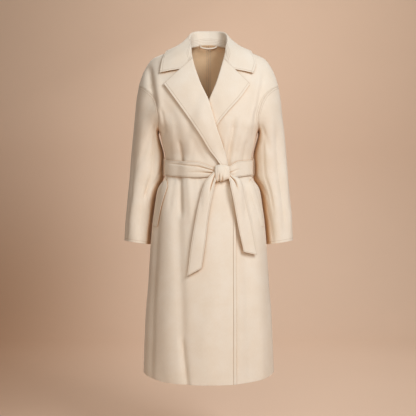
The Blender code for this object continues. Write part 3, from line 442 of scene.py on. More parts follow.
# A sleeve, a row for each ring: its outer and inner points seen from the front, the ring's
# middle and its half depth.
SLEEVE_COLUMNS = (
    "share", "outer_reach", "outer_height", "inner_reach", "inner_height", "middle", "half_depth",
)
SLEEVE = (
    (0.00, SHOULDER_REACH, SHOULDER_TIP, 0.1715, -0.2885, 0.000, 0.094),
    (0.06, 0.2470, -0.178, 0.1740, -0.3010, 0.009, 0.090),
    (0.14, 0.2535, -0.230, 0.1680, -0.3260, 0.021, 0.085),
    (0.27, 0.2640, -0.318, 0.1570, -0.3780, 0.038, 0.078),
    (0.41, 0.2735, -0.418, 0.1575, -0.4470, 0.046, 0.071),
    (0.47, 0.2765, -0.456, 0.1700, -0.4780, 0.046, 0.069),
    (0.54, 0.2795, -0.493, 0.1815, -0.5090, 0.044, 0.066),
    (0.66, 0.2845, -0.545, 0.1895, -0.5550, 0.042, 0.063),
    (0.80, 0.2890, -0.598, 0.1975, -0.6100, 0.039, 0.060),
    (1.00, 0.2935, -0.669, 0.2035, -0.6830, 0.036, 0.057),
)
SLEEVE_FADE = 0.22
SLEEVE_RING_SPREAD = 1.15

# Folds of the body. Each runs through three points seen from the front or the back: reach is X,
# depth is outwards, so a trough is negative. The wide ones come first, then the fine creases.
FOLD_COLUMNS = (
    "facing", "top_x", "top_z", "mid_x", "mid_z", "low_x", "low_z", "half_width", "depth",
)
BODY_FOLDS = (
    (FRONT, -0.203, -0.080, -0.194, -0.145, -0.180, -0.215, 0.012, -0.0095),
    (FRONT, -0.172, -0.110, -0.166, -0.170, -0.156, -0.280, 0.012, 0.0030),
    (FRONT, -0.134, -0.220, -0.106, -0.300, -0.092, -0.397, 0.018, -0.0032),
    (FRONT, -0.104, -0.220, -0.080, -0.310, -0.064, -0.385, 0.022, 0.0016),
    (FRONT, -0.056, -0.320, -0.035, -0.365, -0.020, -0.400, 0.011, -0.0016),
    (FRONT, 0.086, -0.270, 0.075, -0.345, 0.065, -0.420, 0.0090, -0.0092),
    (FRONT, 0.128, -0.270, 0.108, -0.345, 0.092, -0.397, 0.013, 0.0045),
    (FRONT, 0.186, -0.105, 0.174, -0.170, 0.158, -0.260, 0.009, -0.0045),
    (FRONT, 0.170, -0.125, 0.152, -0.200, 0.138, -0.310, 0.014, 0.0035),
    (FRONT, -0.102, -0.445, -0.094, -0.740, -0.078, -1.150, 0.015, -0.0062),
    (FRONT, -0.138, -0.470, -0.134, -0.780, -0.124, -1.150, 0.034, 0.0055),
    (FRONT, -0.166, -0.560, -0.182, -0.800, -0.192, -1.150, 0.011, -0.0050),
    (FRONT, 0.020, -0.480, 0.010, -0.760, -0.004, -1.150, 0.034, 0.0030),
    (FRONT, 0.118, -0.460, 0.126, -0.760, 0.136, -1.150, 0.020, -0.0060),
    (FRONT, 0.160, -0.500, 0.168, -0.780, 0.176, -1.150, 0.022, 0.0040),
    (BACK, -0.105, -0.455, -0.118, -0.760, -0.132, -1.150, 0.024, 0.0075),
    (BACK, -0.064, -0.450, -0.072, -0.760, -0.086, -1.150, 0.020, -0.0075),
    (BACK, 0.052, -0.455, 0.064, -0.760, 0.074, -1.150, 0.021, -0.0080),
    (BACK, 0.096, -0.460, 0.112, -0.760, 0.124, -1.150, 0.024, 0.0070),
    (BACK, -0.012, -0.500, -0.016, -0.800, -0.020, -1.150, 0.026, 0.0035),
    (BACK, -0.150, -0.150, -0.112, -0.280, -0.080, -0.390, 0.014, -0.0045),
    (BACK, 0.156, -0.150, 0.104, -0.280, 0.070, -0.390, 0.014, -0.0050),
    (BACK, -0.090, -0.230, -0.060, -0.310, -0.040, -0.385, 0.014, 0.0040),
    (BACK, 0.086, -0.240, 0.050, -0.310, 0.034, -0.385, 0.014, 0.0040),
)
FINE_FOLDS = (
    (FRONT, -0.097, -0.340, -0.092, -0.370, -0.087, -0.412, 0.0055, -0.0058),
    (FRONT, -0.122, -0.255, -0.118, -0.330, -0.114, -0.400, 0.0100, 0.0012),
    (FRONT, -0.132, -0.340, -0.128, -0.370, -0.126, -0.400, 0.0060, -0.0012),
    (FRONT, -0.046, -0.330, -0.052, -0.370, -0.056, -0.405, 0.0070, -0.0012),
    (FRONT, 0.054, -0.330, 0.052, -0.370, 0.050, -0.410, 0.0050, 0.0020),
    (FRONT, 0.098, -0.320, 0.092, -0.360, 0.088, -0.402, 0.0050, -0.0022),
    (FRONT, 0.126, -0.335, 0.120, -0.370, 0.117, -0.402, 0.0055, -0.0022),
    (FRONT, -0.157, -0.230, -0.150, -0.265, -0.146, -0.310, 0.0060, -0.0030),
    (FRONT, 0.157, -0.230, 0.151, -0.270, 0.147, -0.320, 0.0060, -0.0028),
    (FRONT, -0.096, -0.440, -0.094, -0.500, -0.092, -0.580, 0.0070, -0.0066),
    (FRONT, -0.068, -0.450, -0.062, -0.520, -0.058, -0.600, 0.0090, 0.0025),
    (FRONT, -0.118, -0.455, -0.122, -0.500, -0.126, -0.560, 0.0065, -0.0022),
    (FRONT, -0.030, -0.455, -0.026, -0.500, -0.024, -0.560, 0.0070, -0.0018),
    (FRONT, -0.088, -0.985, -0.078, -1.065, -0.066, -1.150, 0.0062, -0.0066),
    (FRONT, 0.104, -0.455, 0.108, -0.510, 0.112, -0.590, 0.0070, -0.0022),
    (FRONT, 0.135, -0.465, 0.140, -0.520, 0.146, -0.600, 0.0080, 0.0020),
    (FRONT, 0.152, -0.900, 0.158, -1.020, 0.164, -1.150, 0.0120, -0.0030),
    (BACK, -0.128, -0.330, -0.122, -0.365, -0.118, -0.398, 0.0055, -0.0024),
    (BACK, -0.028, -0.320, -0.024, -0.360, -0.022, -0.396, 0.0060, -0.0022),
    (BACK, 0.058, -0.325, 0.052, -0.360, 0.048, -0.396, 0.0055, -0.0026),
    (BACK, 0.108, -0.310, 0.102, -0.350, 0.098, -0.394, 0.0070, 0.0022),
    (BACK, -0.132, -0.440, -0.140, -0.500, -0.150, -0.600, 0.0080, -0.0026),
    (BACK, -0.030, -0.435, -0.034, -0.500, -0.040, -0.590, 0.0070, -0.0026),
    (BACK, 0.024, -0.435, 0.030, -0.510, 0.034, -0.620, 0.0085, 0.0024),
    (BACK, 0.118, -0.440, 0.128, -0.510, 0.138, -0.610, 0.0080, -0.0026),
    (BACK, 0.142, -0.180, 0.130, -0.240, 0.110, -0.300, 0.0070, -0.0028),
    (BACK, -0.146, -0.190, -0.134, -0.240, -0.120, -0.290, 0.0070, -0.0026),
    (BACK, -0.070, -0.960, -0.074, -1.060, -0.078, -1.150, 0.0100, -0.0030),
    (BACK, 0.030, -0.980, 0.034, -1.060, 0.038, -1.150, 0.0110, 0.0024),
)

# Folds of a sleeve: angle is 0 on the outside and grows through the front, in radians, and
# share runs from the armhole to the cuff. The fine ones lie across the elbow and at the cuff.
SLEEVE_FOLD_COLUMNS = (
    "side", "top_angle", "top_share", "low_angle", "low_share", "half_width", "depth",
)
SLEEVE_FOLDS = (
    (RIGHT, 1.25, 0.10, 1.05, 0.90, 0.30, 0.0040),
    (RIGHT, 1.95, 0.12, 1.85, 0.95, 0.26, -0.0050),
    (RIGHT, 4.20, 0.15, 4.40, 0.85, 0.30, -0.0045),
    (RIGHT, 5.20, 0.20, 5.30, 0.90, 0.34, 0.0035),
    (RIGHT, 2.30, 0.02, 1.35, 0.34, 0.11, -0.0030),
    (RIGHT, 0.60, 0.30, 0.95, 0.62, 0.10, -0.0022),
    (RIGHT, 2.15, 0.06, 1.95, 0.60, 0.13, -0.0060),
    (RIGHT, 2.70, 0.34, 1.75, 0.60, 0.10, -0.0028),
    (RIGHT, 0.75, 0.55, 0.70, 1.00, 0.16, -0.0026),
    (RIGHT, 2.45, 0.62, 2.40, 1.00, 0.15, 0.0026),
    (LEFT, 1.05, 0.08, 1.20, 0.95, 0.28, -0.0055),
    (LEFT, 0.45, 0.12, 0.55, 0.90, 0.30, 0.0035),
    (LEFT, 1.75, 0.15, 1.80, 0.90, 0.28, 0.0035),
    (LEFT, 4.30, 0.12, 4.10, 0.90, 0.30, -0.0045),
    (LEFT, 5.10, 0.15, 5.30, 0.90, 0.34, 0.0035),
    (LEFT, 2.40, 0.02, 1.50, 0.32, 0.10, -0.0030),
    (LEFT, 3.05, 0.26, 2.25, 0.56, 0.10, -0.0030),
    (LEFT, 1.10, 0.18, 1.16, 0.78, 0.09, -0.0022),
    (LEFT, 2.05, 0.10, 1.90, 0.70, 0.07, -0.0034),
    (LEFT, 0.20, 0.42, 0.62, 0.70, 0.10, -0.0020),
    (LEFT, 2.35, 0.62, 2.20, 1.00, 0.15, -0.0024),
    (RIGHT, 3.90, 0.36, 4.70, 0.60, 0.11, -0.0026),
    (LEFT, 3.80, 0.38, 4.60, 0.62, 0.11, -0.0026),
)

# The belt's free ends, from the knot down: the strip's middle, its half width and how far it
# stands off the skirt.
TAIL_COLUMNS = ("share", "middle_x", "height", "half_width", "clearance")
BELT_TAILS = {
    RIGHT: (
        (0.00, 0.0205, -0.4410, 0.0060, 0.0130),
        (0.05, 0.0140, -0.4560, 0.0100, 0.0170),
        (0.10, 0.0085, -0.4690, 0.0135, 0.0175),
        (0.16, 0.0020, -0.4850, 0.0160, 0.0170),
        (0.26, -0.0060, -0.5150, 0.0175, 0.0160),
        (0.42, -0.0172, -0.5700, 0.0185, 0.0150),
        (0.60, -0.0270, -0.637, 0.0200, 0.0140),
        (0.80, -0.0358, -0.702, 0.0215, 0.0130),
        (1.00, -0.0440, -0.767, 0.0225, 0.0125),
    ),
    LEFT: (
        (0.00, 0.0630, -0.4480, 0.0060, 0.0130),
        (0.06, 0.0710, -0.4600, 0.0105, 0.0180),
        (0.12, 0.0790, -0.4730, 0.0160, 0.0240),
        (0.18, 0.0845, -0.4900, 0.0182, 0.0255),
        (0.28, 0.0925, -0.522, 0.0195, 0.0240),
        (0.48, 0.1050, -0.580, 0.0205, 0.0200),
        (0.72, 0.1172, -0.640, 0.0210, 0.0160),
        (1.00, 0.1310, -0.707, 0.0208, 0.0130),
    ),
}
TAIL_END_SLANT = {RIGHT: 0.016, LEFT: -0.0100}

# Lengthwise creases of the belt where it gathers into the knot: which side of the knot, where
# the crease lies across the strip, how far along it fades, its half width and its depth.
BELT_CREASE_COLUMNS = ("side", "across", "length", "half_width", "depth")
BELT_CREASES = (
    (RIGHT, 0.70, 0.250, 0.11, -0.0046),
    (RIGHT, -0.42, 0.115, 0.12, -0.0050),
    (RIGHT, 0.12, 0.070, 0.14, 0.0016),
    (LEFT, -0.12, 0.085, 0.13, -0.0046),
    (LEFT, 0.50, 0.044, 0.13, -0.0018),
    (LEFT, -0.68, 0.060, 0.12, -0.0018),
)

# The knot seen from the side, from its top down to its underside: height over its middle and
# how far it stands out. Its folds run down it, each from a start to an end across the wrap.
KNOT_PROFILE = (
    (0.0260, 0.0080), (0.0210, 0.0140), (0.0130, 0.0185), (0.0030, 0.0215), (-0.0090, 0.0230),
    (-0.0200, 0.0215), (-0.0275, 0.0150), (-0.0285, 0.0050),
)
KNOT_CREASE_COLUMNS = ("top", "low", "start", "end", "half_width", "depth")
KNOT_CREASES = (
    (-0.36, -0.28, 0.42, 1.12, 0.095, -0.0060),
    (0.20, 0.12, 0.48, 1.12, 0.095, -0.0052),
    (0.60, 0.52, 0.10, 0.70, 0.110, -0.0028),
    (-0.56, -0.62, 0.10, 0.85, 0.120, -0.0012),
    (0.30, 0.36, 0.12, 0.75, 0.150, -0.0012),
)


def column(table, columns, name):
    return np.array([row[columns.index(name)] for row in table], float)


def smooth(keys, values, at):
    """A smooth line through the values that doesn't overshoot them."""
    at = np.clip(np.asarray(at, float), keys[0], keys[-1])
    widths = np.diff(keys)
    slopes = np.diff(values) / widths
    tangents = np.zeros(len(keys))
    tangents[0] = slopes[0]
    tangents[-1] = slopes[-1]
    for index in range(1, len(keys) - 1):
        before, after = slopes[index - 1], slopes[index]
        if before * after > 0:
            tangents[index] = 2 * before * after / (before + after)
    index = np.clip(np.searchsorted(keys, at, side="right") - 1, 0, len(widths) - 1)
    width = widths[index]
    share = (at - keys[index]) / width
    rest = 1 - share
    return (
        values[index] * rest * rest * (1 + 2 * share)
        + values[index + 1] * share * share * (1 + 2 * rest)
        + tangents[index] * width * share * rest * rest
        - tangents[index + 1] * width * share * share * rest
    )


def look_up(table, columns, name, at):
    """The named column at a value of the table's first column."""
    return smooth(column(table, columns, columns[0]), column(table, columns, name), at)


def ease(value):
    """0 below 0, 1 above 1 and a soft step between."""
    value = np.clip(value, 0, 1)
    return value * value * (3 - 2 * value)


def bump(away, half_width):
    """1 at the middle of a fold, dying away on both sides."""
    return np.exp(-((away / half_width) ** 2))


def signed_power(value, power):
    return np.sign(value) * np.abs(value) ** power


def unit(vectors):
    return vectors / np.maximum(np.linalg.norm(vectors, axis=-1, keepdims=True), 1e-12)


def body_size(name, height):
    """A size of the plain form, evened out over nearby levels everywhere below the neck."""
    height = np.asarray(height, float)
    reach = BODY_EASE_REACH * ease((BODY_EASE_TOP - height) / BODY_EASE_FADE)
    total = 0.0
    for tap, weight in BODY_EASE_TAPS:
        total = total + weight * look_up(BODY, BODY_COLUMNS, name, height + tap * reach)
    return total


def body_base(side, facing, angle, height):
    """The plain form. The angle is 0 at the side seam and half pi at the middle."""
    power = 2 / body_size("squareness", height)
    depth_name = "front_depth" if facing == FRONT else "back_depth"
    across = body_size("half_width", height) * signed_power(np.cos(angle), power)
    along = body_size(depth_name, height) * signed_power(np.sin(angle), power)
    middle = body_size("middle", height)
    lift = 0.0
    if facing == BACK:
        lift = NECK_BACK_RISE * ease(1 + height / NECK_RISE_FADE) * np.sin(angle) ** 2
    lift = lift + HEM_SIDE_RISE * ease(1 - (height - HEM) / HEM_RISE_FADE) * np.cos(angle) ** 4
    return np.stack([side * across, middle + facing * along, height + lift], axis=-1)


def body_frame(side, facing, angle, height):
    """The plain form's points, and their unit normals, which point out of the garment."""
    angle, height = np.broadcast_arrays(np.asarray(angle, float), np.asarray(height, float))
    step = 0.002
    rise = 0.0005
    before = body_base(side, facing, angle - step, height)
    after = body_base(side, facing, angle + step, height)
    below = body_base(side, facing, angle, height - rise)
    above = body_base(side, facing, angle, height + rise)
    normal = side * facing * np.cross(after - before, above - below)
    return body_base(side, facing, angle, height), unit(normal)


def angle_at(reach, height):
    """The angle at which the form is this far out on its own side, or past the middle if less."""
    power = body_size("squareness", height) / 2
    share = np.clip(reach / body_size("half_width", height), -1, 1)
    return np.arccos(signed_power(share, power))


def folds_of(table, facing, x, height):
    """How far one table's folds move the cloth out."""
    total = np.zeros(np.broadcast(x, height).shape)
    for row in table:
        fold = dict(zip(FOLD_COLUMNS, row))
        if fold["facing"] != facing:
            continue
        heights = (fold["low_z"], fold["mid_z"], fold["top_z"])
        reaches = (fold["low_x"], fold["mid_x"], fold["top_x"])
        line = np.polyfit(heights, reaches, 2)
        slope = np.polyval(np.polyder(line), height)
        away = (x - np.polyval(line, height)) / np.sqrt(1 + slope * slope)
        fade = FOLD_END_SHARE * (fold["top_z"] - fold["low_z"])
        low_end = ease((height - fold["low_z"]) / fade + 0.5)
        top_end = ease((fold["top_z"] - height) / fade + 0.5)
        total = total + fold["depth"] * low_end * top_end * bump(away, fold["half_width"])
    return total


def belt_centre(around):
    """The belt's middle height: it dips towards the front."""
    return WAIST + BELT_RISE - BELT_DIP * (0.5 + 0.5 * np.cos(around)) ** 1.2


def gathers(facing, angle, x, height):
    """Small uneven pleats above and below the belt, which draws the cloth in."""
    depth = bpy.context.scene.coat_cloth.gather_depth
    away = height - belt_centre(math.pi / 2 + facing * angle)
    above = away > 0
    fade = np.where(above, GATHER_FADE_ABOVE, GATHER_FADE_BELOW)
    dying = np.exp(-np.maximum(np.abs(away) - GATHER_FULL, 0) / fade)
    size = ease((np.abs(away) - GATHER_START) / GATHER_RISE) * dying
    turn = 2 * math.pi * x * np.where(above, GATHER_CROWDING_ABOVE, GATHER_CROWDING_BELOW)
    wave = 0.0
    for share, length, start, phase in GATHER_WAVES:
        wave = wave + share * np.sin(turn / length + start + phase * GATHER_PHASE[facing])
    return depth * size * wave


def ripples(facing, x, height):
    """The slight unevenness of cloth that hangs."""
    depth = bpy.context.scene.coat_cloth.ripple_depth
    wave = 0.0
    for share, width, rise, phase in RIPPLE_WAVES:
        turn = 2 * math.pi * (x / width + height / rise)
        wave = wave + share * np.sin(turn + phase * RIPPLE_PHASE[facing])
    return depth * wave


def body_folds(facing, x, height, angle):
    """All the folds of the body together. They die away at the side seam."""
    strength = bpy.context.scene.coat_cloth.fold_strength
    total = folds_of(BODY_FOLDS, facing, x, height)
    total = total + strength * folds_of(FINE_FOLDS, facing, x, height)
    total = total + gathers(facing, angle, x, height) + ripples(facing, x, height)
    return total * ease((angle - FOLD_FREE_ANGLE) / FOLD_FADE_ANGLE)


def front_layer(side, x, height):
    """How far a front stands out where the two fronts lie on each other."""
    own = side * x
    above_skirt = ease((height - LAYER_HEIGHT) / LAYER_FADE)
    chest = above_skirt * ease((LAYER_TOP_HEIGHT - height) / LAYER_TOP_FADE)
    other_roll = -look_up(ROLL_LINE[-side], ROLL_COLUMNS, "reach", np.maximum(height, BREAK_HEIGHT))
    on_chest = chest * ease((other_roll + LAYER_CHEST_END - own) / LAYER_CHEST_FADE)
    on_skirt = (1 - above_skirt) * ease((UNDER_EDGE + LAYER_SKIRT_END - own) / LAYER_SKIRT_FADE)
    if side == RIGHT:
        return OVER_CHEST_LIFT * on_chest + OVER_SKIRT_LIFT * on_skirt
    return -UNDER_CHEST_DROP * on_chest - UNDER_SKIRT_DROP * on_skirt


def body_point(side, facing, angle, height, lift=0.0):
    """The worn cloth's middle surface, moved out by lift, with the form's normals."""
    base, normal = body_frame(side, facing, angle, height)
    angle = np.broadcast_to(angle, base.shape[:-1])
    out = lift + body_folds(facing, base[..., 0], base[..., 2], angle)
    if facing == FRONT:
        out = out + front_layer(side, base[..., 0], base[..., 2])
    return base + normal * np.asarray(out)[..., None], normal


def front_point(side, reach, height, lift=0.0):
    """A point of a front by how far it lies towards its own side, seen from the front."""
    height = np.asarray(height, float)
    return body_point(side, FRONT, angle_at(np.asarray(reach, float), height), height, lift)


def seam_normal(normal, points, share):
    """At the neck seam the cloth turns up, so both pieces end on the bisector of the turn."""
    away = np.array(points, float)
    away[..., 1] -= NECK_MIDDLE
    away[..., 2] = 0
    return unit(normal + unit(away) * NECK_TURN * np.asarray(share)[..., None])


def outer_angle(height):
    """The side seam, then the armhole seam, then the shoulder seam."""
    reach = look_up(ARMHOLE, ARMHOLE_COLUMNS, "reach", height)
    wider = body_size("half_width", UNDERARM) - UNDERARM_REACH
    reach = reach + wider * ease(1 - (height - UNDERARM) / UNDERARM_FADE)
    half = body_size("half_width", height)
    on_seam = (height > UNDERARM) & (height < SHOULDER_TIP)
    return np.where(on_seam, angle_at(np.minimum(reach, half), height), 0.0)


def turn_down(normals, height):
    """The shared normals of the armhole seam, which turn down at the underarm."""
    down = np.array([0.0, 0.0, -1.0])
    share = ease((ARMHOLE_TURN_HEIGHT - height) / ARMHOLE_TURN_LENGTH)[..., None]
    return unit(normals * (1 - share) + down * share)


def armhole_loop(side, turns):
    """Points and shared normals of the armhole seam; the turn is 0 on top, half pi in front."""
    height = (SHOULDER_TIP + UNDERARM) / 2 + (SHOULDER_TIP - UNDERARM) / 2 * np.cos(turns)
    angle = outer_angle(height)
    points = np.empty((len(turns), 3))
    normals = np.empty((len(turns), 3))
    for facing in (FRONT, BACK):
        chosen = (np.sin(turns) >= -1e-9) == (facing == FRONT)
        points[chosen], normals[chosen] = body_point(side, facing, angle[chosen], height[chosen])
    lowest = np.argmin(np.abs(height - UNDERARM))
    points[lowest] += (side * UNDERARM_TURN, 0, UNDERARM_TURN)
    return points, turn_down(normals, height)


def lengths(middle, axis):
    """How far each point lies along its row or column, measured on the cloth."""
    steps = np.linalg.norm(np.diff(middle, axis=axis), axis=-1)
    start = np.zeros_like(np.take(steps, [0], axis=axis))
    return np.concatenate([start, np.cumsum(steps, axis=axis)], axis=axis)


def to_end(along, axis):
    """The same lengths, counted back from the far end."""
    return np.take(along, [-1], axis=axis) - along


def grid_normals(middle, closed=False):
    """Unit normals of a grid of points. A closed grid's last column repeats its first."""
    if closed:
        ring = middle[:, :-1]
        across = np.roll(ring, -1, axis=1) - np.roll(ring, 1, axis=1)
        across = np.concatenate([across, across[:, :1]], axis=1)
    else:
        across = np.gradient(middle, axis=1)
    return unit(np.cross(np.gradient(middle, axis=0), across))


def crowded(count, sine):
    """Values from -1 to 1, drawn towards both ends by this share of a sine."""
    even = np.linspace(-1, 1, count)
    return sine * np.sin(even * math.pi / 2) + (1 - sine) * even


def shares(count, near=(), far=()):
    """Even shares from 0 to 1, with more of them close to either end."""
    even = np.linspace(0, 1, count)
    inner = even[(even > 1.3 * max(near, default=0)) & (even < 1 - 1.3 * max(far, default=0))]
    return np.unique(np.concatenate([[0], near, inner, 1 - np.asarray(far, float), [1]]))


def seam_dip(away):
    """How far the cloth sinks in beside a seam."""
    return -SEAM_DEPTH * bump(away, SEAM_SPREAD)


def relax(middle, times):
    """Evens out the inside of a grid of points; its borders stay."""
    for _ in range(times):
        inner = (middle[:-2, 1:-1] + middle[2:, 1:-1] + middle[1:-1, :-2] + middle[1:-1, 2:]) / 4
        middle = middle.copy()
        middle[1:-1, 1:-1] = (middle[1:-1, 1:-1] + inner) / 2
    return middle


def round_edges(cloth, outer, free, columns, width):
    """Rounds the two edges of the rim wherever the cloth is cut and not sewn to a neighbour."""
    place = cloth.verts.layers.int["place"]
    outside = set(outer)
    chosen = []
    for edge in cloth.edges:
        first, second = edge.verts
        if (first in outside) != (second in outside):
            continue
        if not all(free[divmod(vertex[place], columns)] for vertex in edge.verts):
            continue
        if any(len({corner in outside for corner in face.verts}) == 2 for face in edge.link_faces):
            chosen.append(edge)
    bmesh.ops.bevel(
        cloth, geom=chosen, offset=width, offset_type="OFFSET", segments=2, profile=0.5,
        affect="EDGES", clamp_overlap=True, material=-1,
    )


def make_cloth(middle, normals, marks, thickness, free=None, closed=False, worn_in=0.0):
    """One cloth shell round a grid of points, with a UV map in metres.

    marks holds three lengths for each point: its distances from up to three stitched edges. free
    is true where the cloth's edge is cut, or left out where it is cut all round. closed joins the
    last column to the first, and worn_in is 1 where the lower face is the inside of the coat.
    """
    rows, columns = middle.shape[:2]
    if free is None:
        free = np.ones((rows, columns), bool)
    half = np.broadcast_to(np.asarray(thickness, float) / 2, (rows, columns))
    across = lengths(middle, 1)
    down = lengths(middle, 0)
    cloth = bmesh.new()
    bmesh.ops.create_grid(cloth, x_segments=columns - 1, y_segments=rows - 1, size=1)
    cloth.verts.layers.int.new("place")
    cloth.verts.layers.float_vector.new("seam")
    cloth.verts.layers.float.new("inside")
    cloth.loops.layers.uv.new("cloth")
    place = cloth.verts.layers.int["place"]
    seam = cloth.verts.layers.float_vector["seam"]
    inside = cloth.verts.layers.float["inside"]
    weave = cloth.loops.layers.uv["cloth"]
    for vertex in cloth.verts:
        row = round((vertex.co.y + 1) / 2 * (rows - 1))
        vertex[place] = row * columns + round((vertex.co.x + 1) / 2 * (columns - 1))
    for vertex in cloth.verts:
        spot = divmod(vertex[place], columns)
        vertex.co = middle[spot]
        vertex[seam] = marks[spot]
    for face in cloth.faces:
        for corner in face.loops:
            spot = divmod(corner.vert[place], columns)
            corner[weave].uv = (across[spot], down[spot])
    if closed:
        bmesh.ops.remove_doubles(cloth, verts=cloth.verts[:], dist=1e-6)
    inner = cloth.verts[:]
    region = cloth.verts[:] + cloth.edges[:] + cloth.faces[:]
    copied = bmesh.ops.extrude_face_region(cloth, geom=region, use_keep_orig=True)["geom"]
    outer = [item for item in copied if isinstance(item, bmesh.types.BMVert)]
    for vertices, way in ((inner, -1), (outer, 1)):
        for vertex in vertices:
            spot = divmod(vertex[place], columns)
            vertex.co = middle[spot] + normals[spot] * (way * half[spot])
            vertex[inside] = worn_in * (0.5 - 0.5 * way)
    round_edges(cloth, outer, free, columns, float(np.min(half)) * EDGE_ROUNDNESS)
    bmesh.ops.recalc_face_normals(cloth, faces=cloth.faces[:])
    return cloth


def put_in_scene(name, data):
    made = bpy.data.objects.new(name, data)
    bpy.context.scene.collection.objects.link(made)
    return made


def sew(node, middle, normals, marks, wall, finish, held, rests_on=(), slot="wool", **cut):
    """Makes a grid of cloth the piece for this solid, and hides the solid."""
    cloth = make_cloth(middle, normals, marks, wall, **cut)
    name = node + "_cloth"
    mesh = bpy.data.meshes.new(name)
    cloth.to_mesh(mesh)
    cloth.free()
    mesh.materials.append(finish)
    mesh.shade_smooth()
    piece = put_in_scene(name, mesh)
    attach(piece, "root")
    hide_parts(node)


def add_node(tree, kind, inputs=(), **settings):
    """A shader node with its settings; an input is a value or another node's output."""
    node = tree.nodes.new(kind)
    for name, value in settings.items():
        setattr(node, name, value)
    for socket, value in dict(inputs).items():
        if isinstance(value, bpy.types.NodeSocket):
            tree.links.new(value, node.inputs[socket])
        else:
            node.inputs[socket].default_value = value
    return node


def compute(tree, operation, first, second=0.0, third=0.0):
    """The result of one math node."""
    inputs = {0: first, 1: second, 2: third}
    return add_node(tree, "ShaderNodeMath", inputs, operation=operation).outputs[0]


def soft_step(tree, value, start, end, low=0.0, high=1.0):
    """A soft step of the value from low at start to high at end."""
    inputs = {"Value": value, "From Min": start, "From Max": end, "To Min": low, "To Max": high}
    node = add_node(tree, "ShaderNodeMapRange", inputs, interpolation_type="SMOOTHSTEP")
    return node.outputs["Result"]


def noise(tree, vector, scale, detail=2.0, roughness=0.5):
    inputs = {"Vector": vector, "Scale": scale, "Detail": detail, "Roughness": roughness}
    return add_node(tree, "ShaderNodeTexNoise", inputs).outputs["Fac"]


def stretched(tree, vector, scale):
    """The same coordinates, scaled by a different amount along each axis."""
    return add_node(tree, "ShaderNodeMapping", {"Vector": vector, "Scale": scale}).outputs["Vector"]


def weighted(tree, *parts):
    """The sum of values, each given with its weight."""
    (value, weight), *others = parts
    total = compute(tree, "MULTIPLY", value, weight)
    for value, weight in others:
        total = compute(tree, "MULTIPLY_ADD", value, weight, total)
    return total


def mixed(tree, share, first, second, blend="MIX"):
    """The first colour, blended with a share of the second; each is a colour or an output."""
    inputs = {"Factor": share, 6: first, 7: second}
    return add_node(tree, "ShaderNodeMix", inputs, data_type="RGBA", blend_type=blend).outputs[2]


def opaque(colour):
    return (*colour, 1.0)


def stitch_lines(tree, lines, weave):
    """(groove, thread) of the rows of stitches: each line is a seam mark and a distance from it."""
    marks = add_node(tree, "ShaderNodeAttribute", attribute_name="seam").outputs["Vector"]
    marks = add_node(tree, "ShaderNodeSeparateXYZ", {"Vector": marks})
    weave = add_node(tree, "ShaderNodeSeparateXYZ", {"Vector": weave})
    groove = 0.0
    thread = 0.0
    for mark, distance in lines:
        offset = compute(tree, "SUBTRACT", marks.outputs[mark], distance)
        away = compute(tree, "ABSOLUTE", offset)
        run = weave.outputs["X" if mark == "Y" else "Y"]
        dash = compute(tree, "PINGPONG", run, STITCH_PITCH / 2)
        on_dash = soft_step(tree, dash, STITCH_PITCH * 0.10, STITCH_PITCH * 0.18)
        on_line = soft_step(tree, away, THREAD_WIDTH * 0.35, THREAD_WIDTH * 0.7, 1.0, 0.0)
        one_thread = compute(tree, "MULTIPLY", on_dash, on_line)
        one_groove = soft_step(tree, away, THREAD_WIDTH * 0.4, GROOVE_WIDTH, 1.0, 0.0)
        groove = compute(tree, "MAXIMUM", groove, one_groove)
        thread = compute(tree, "MAXIMUM", thread, one_thread)
    return groove, thread


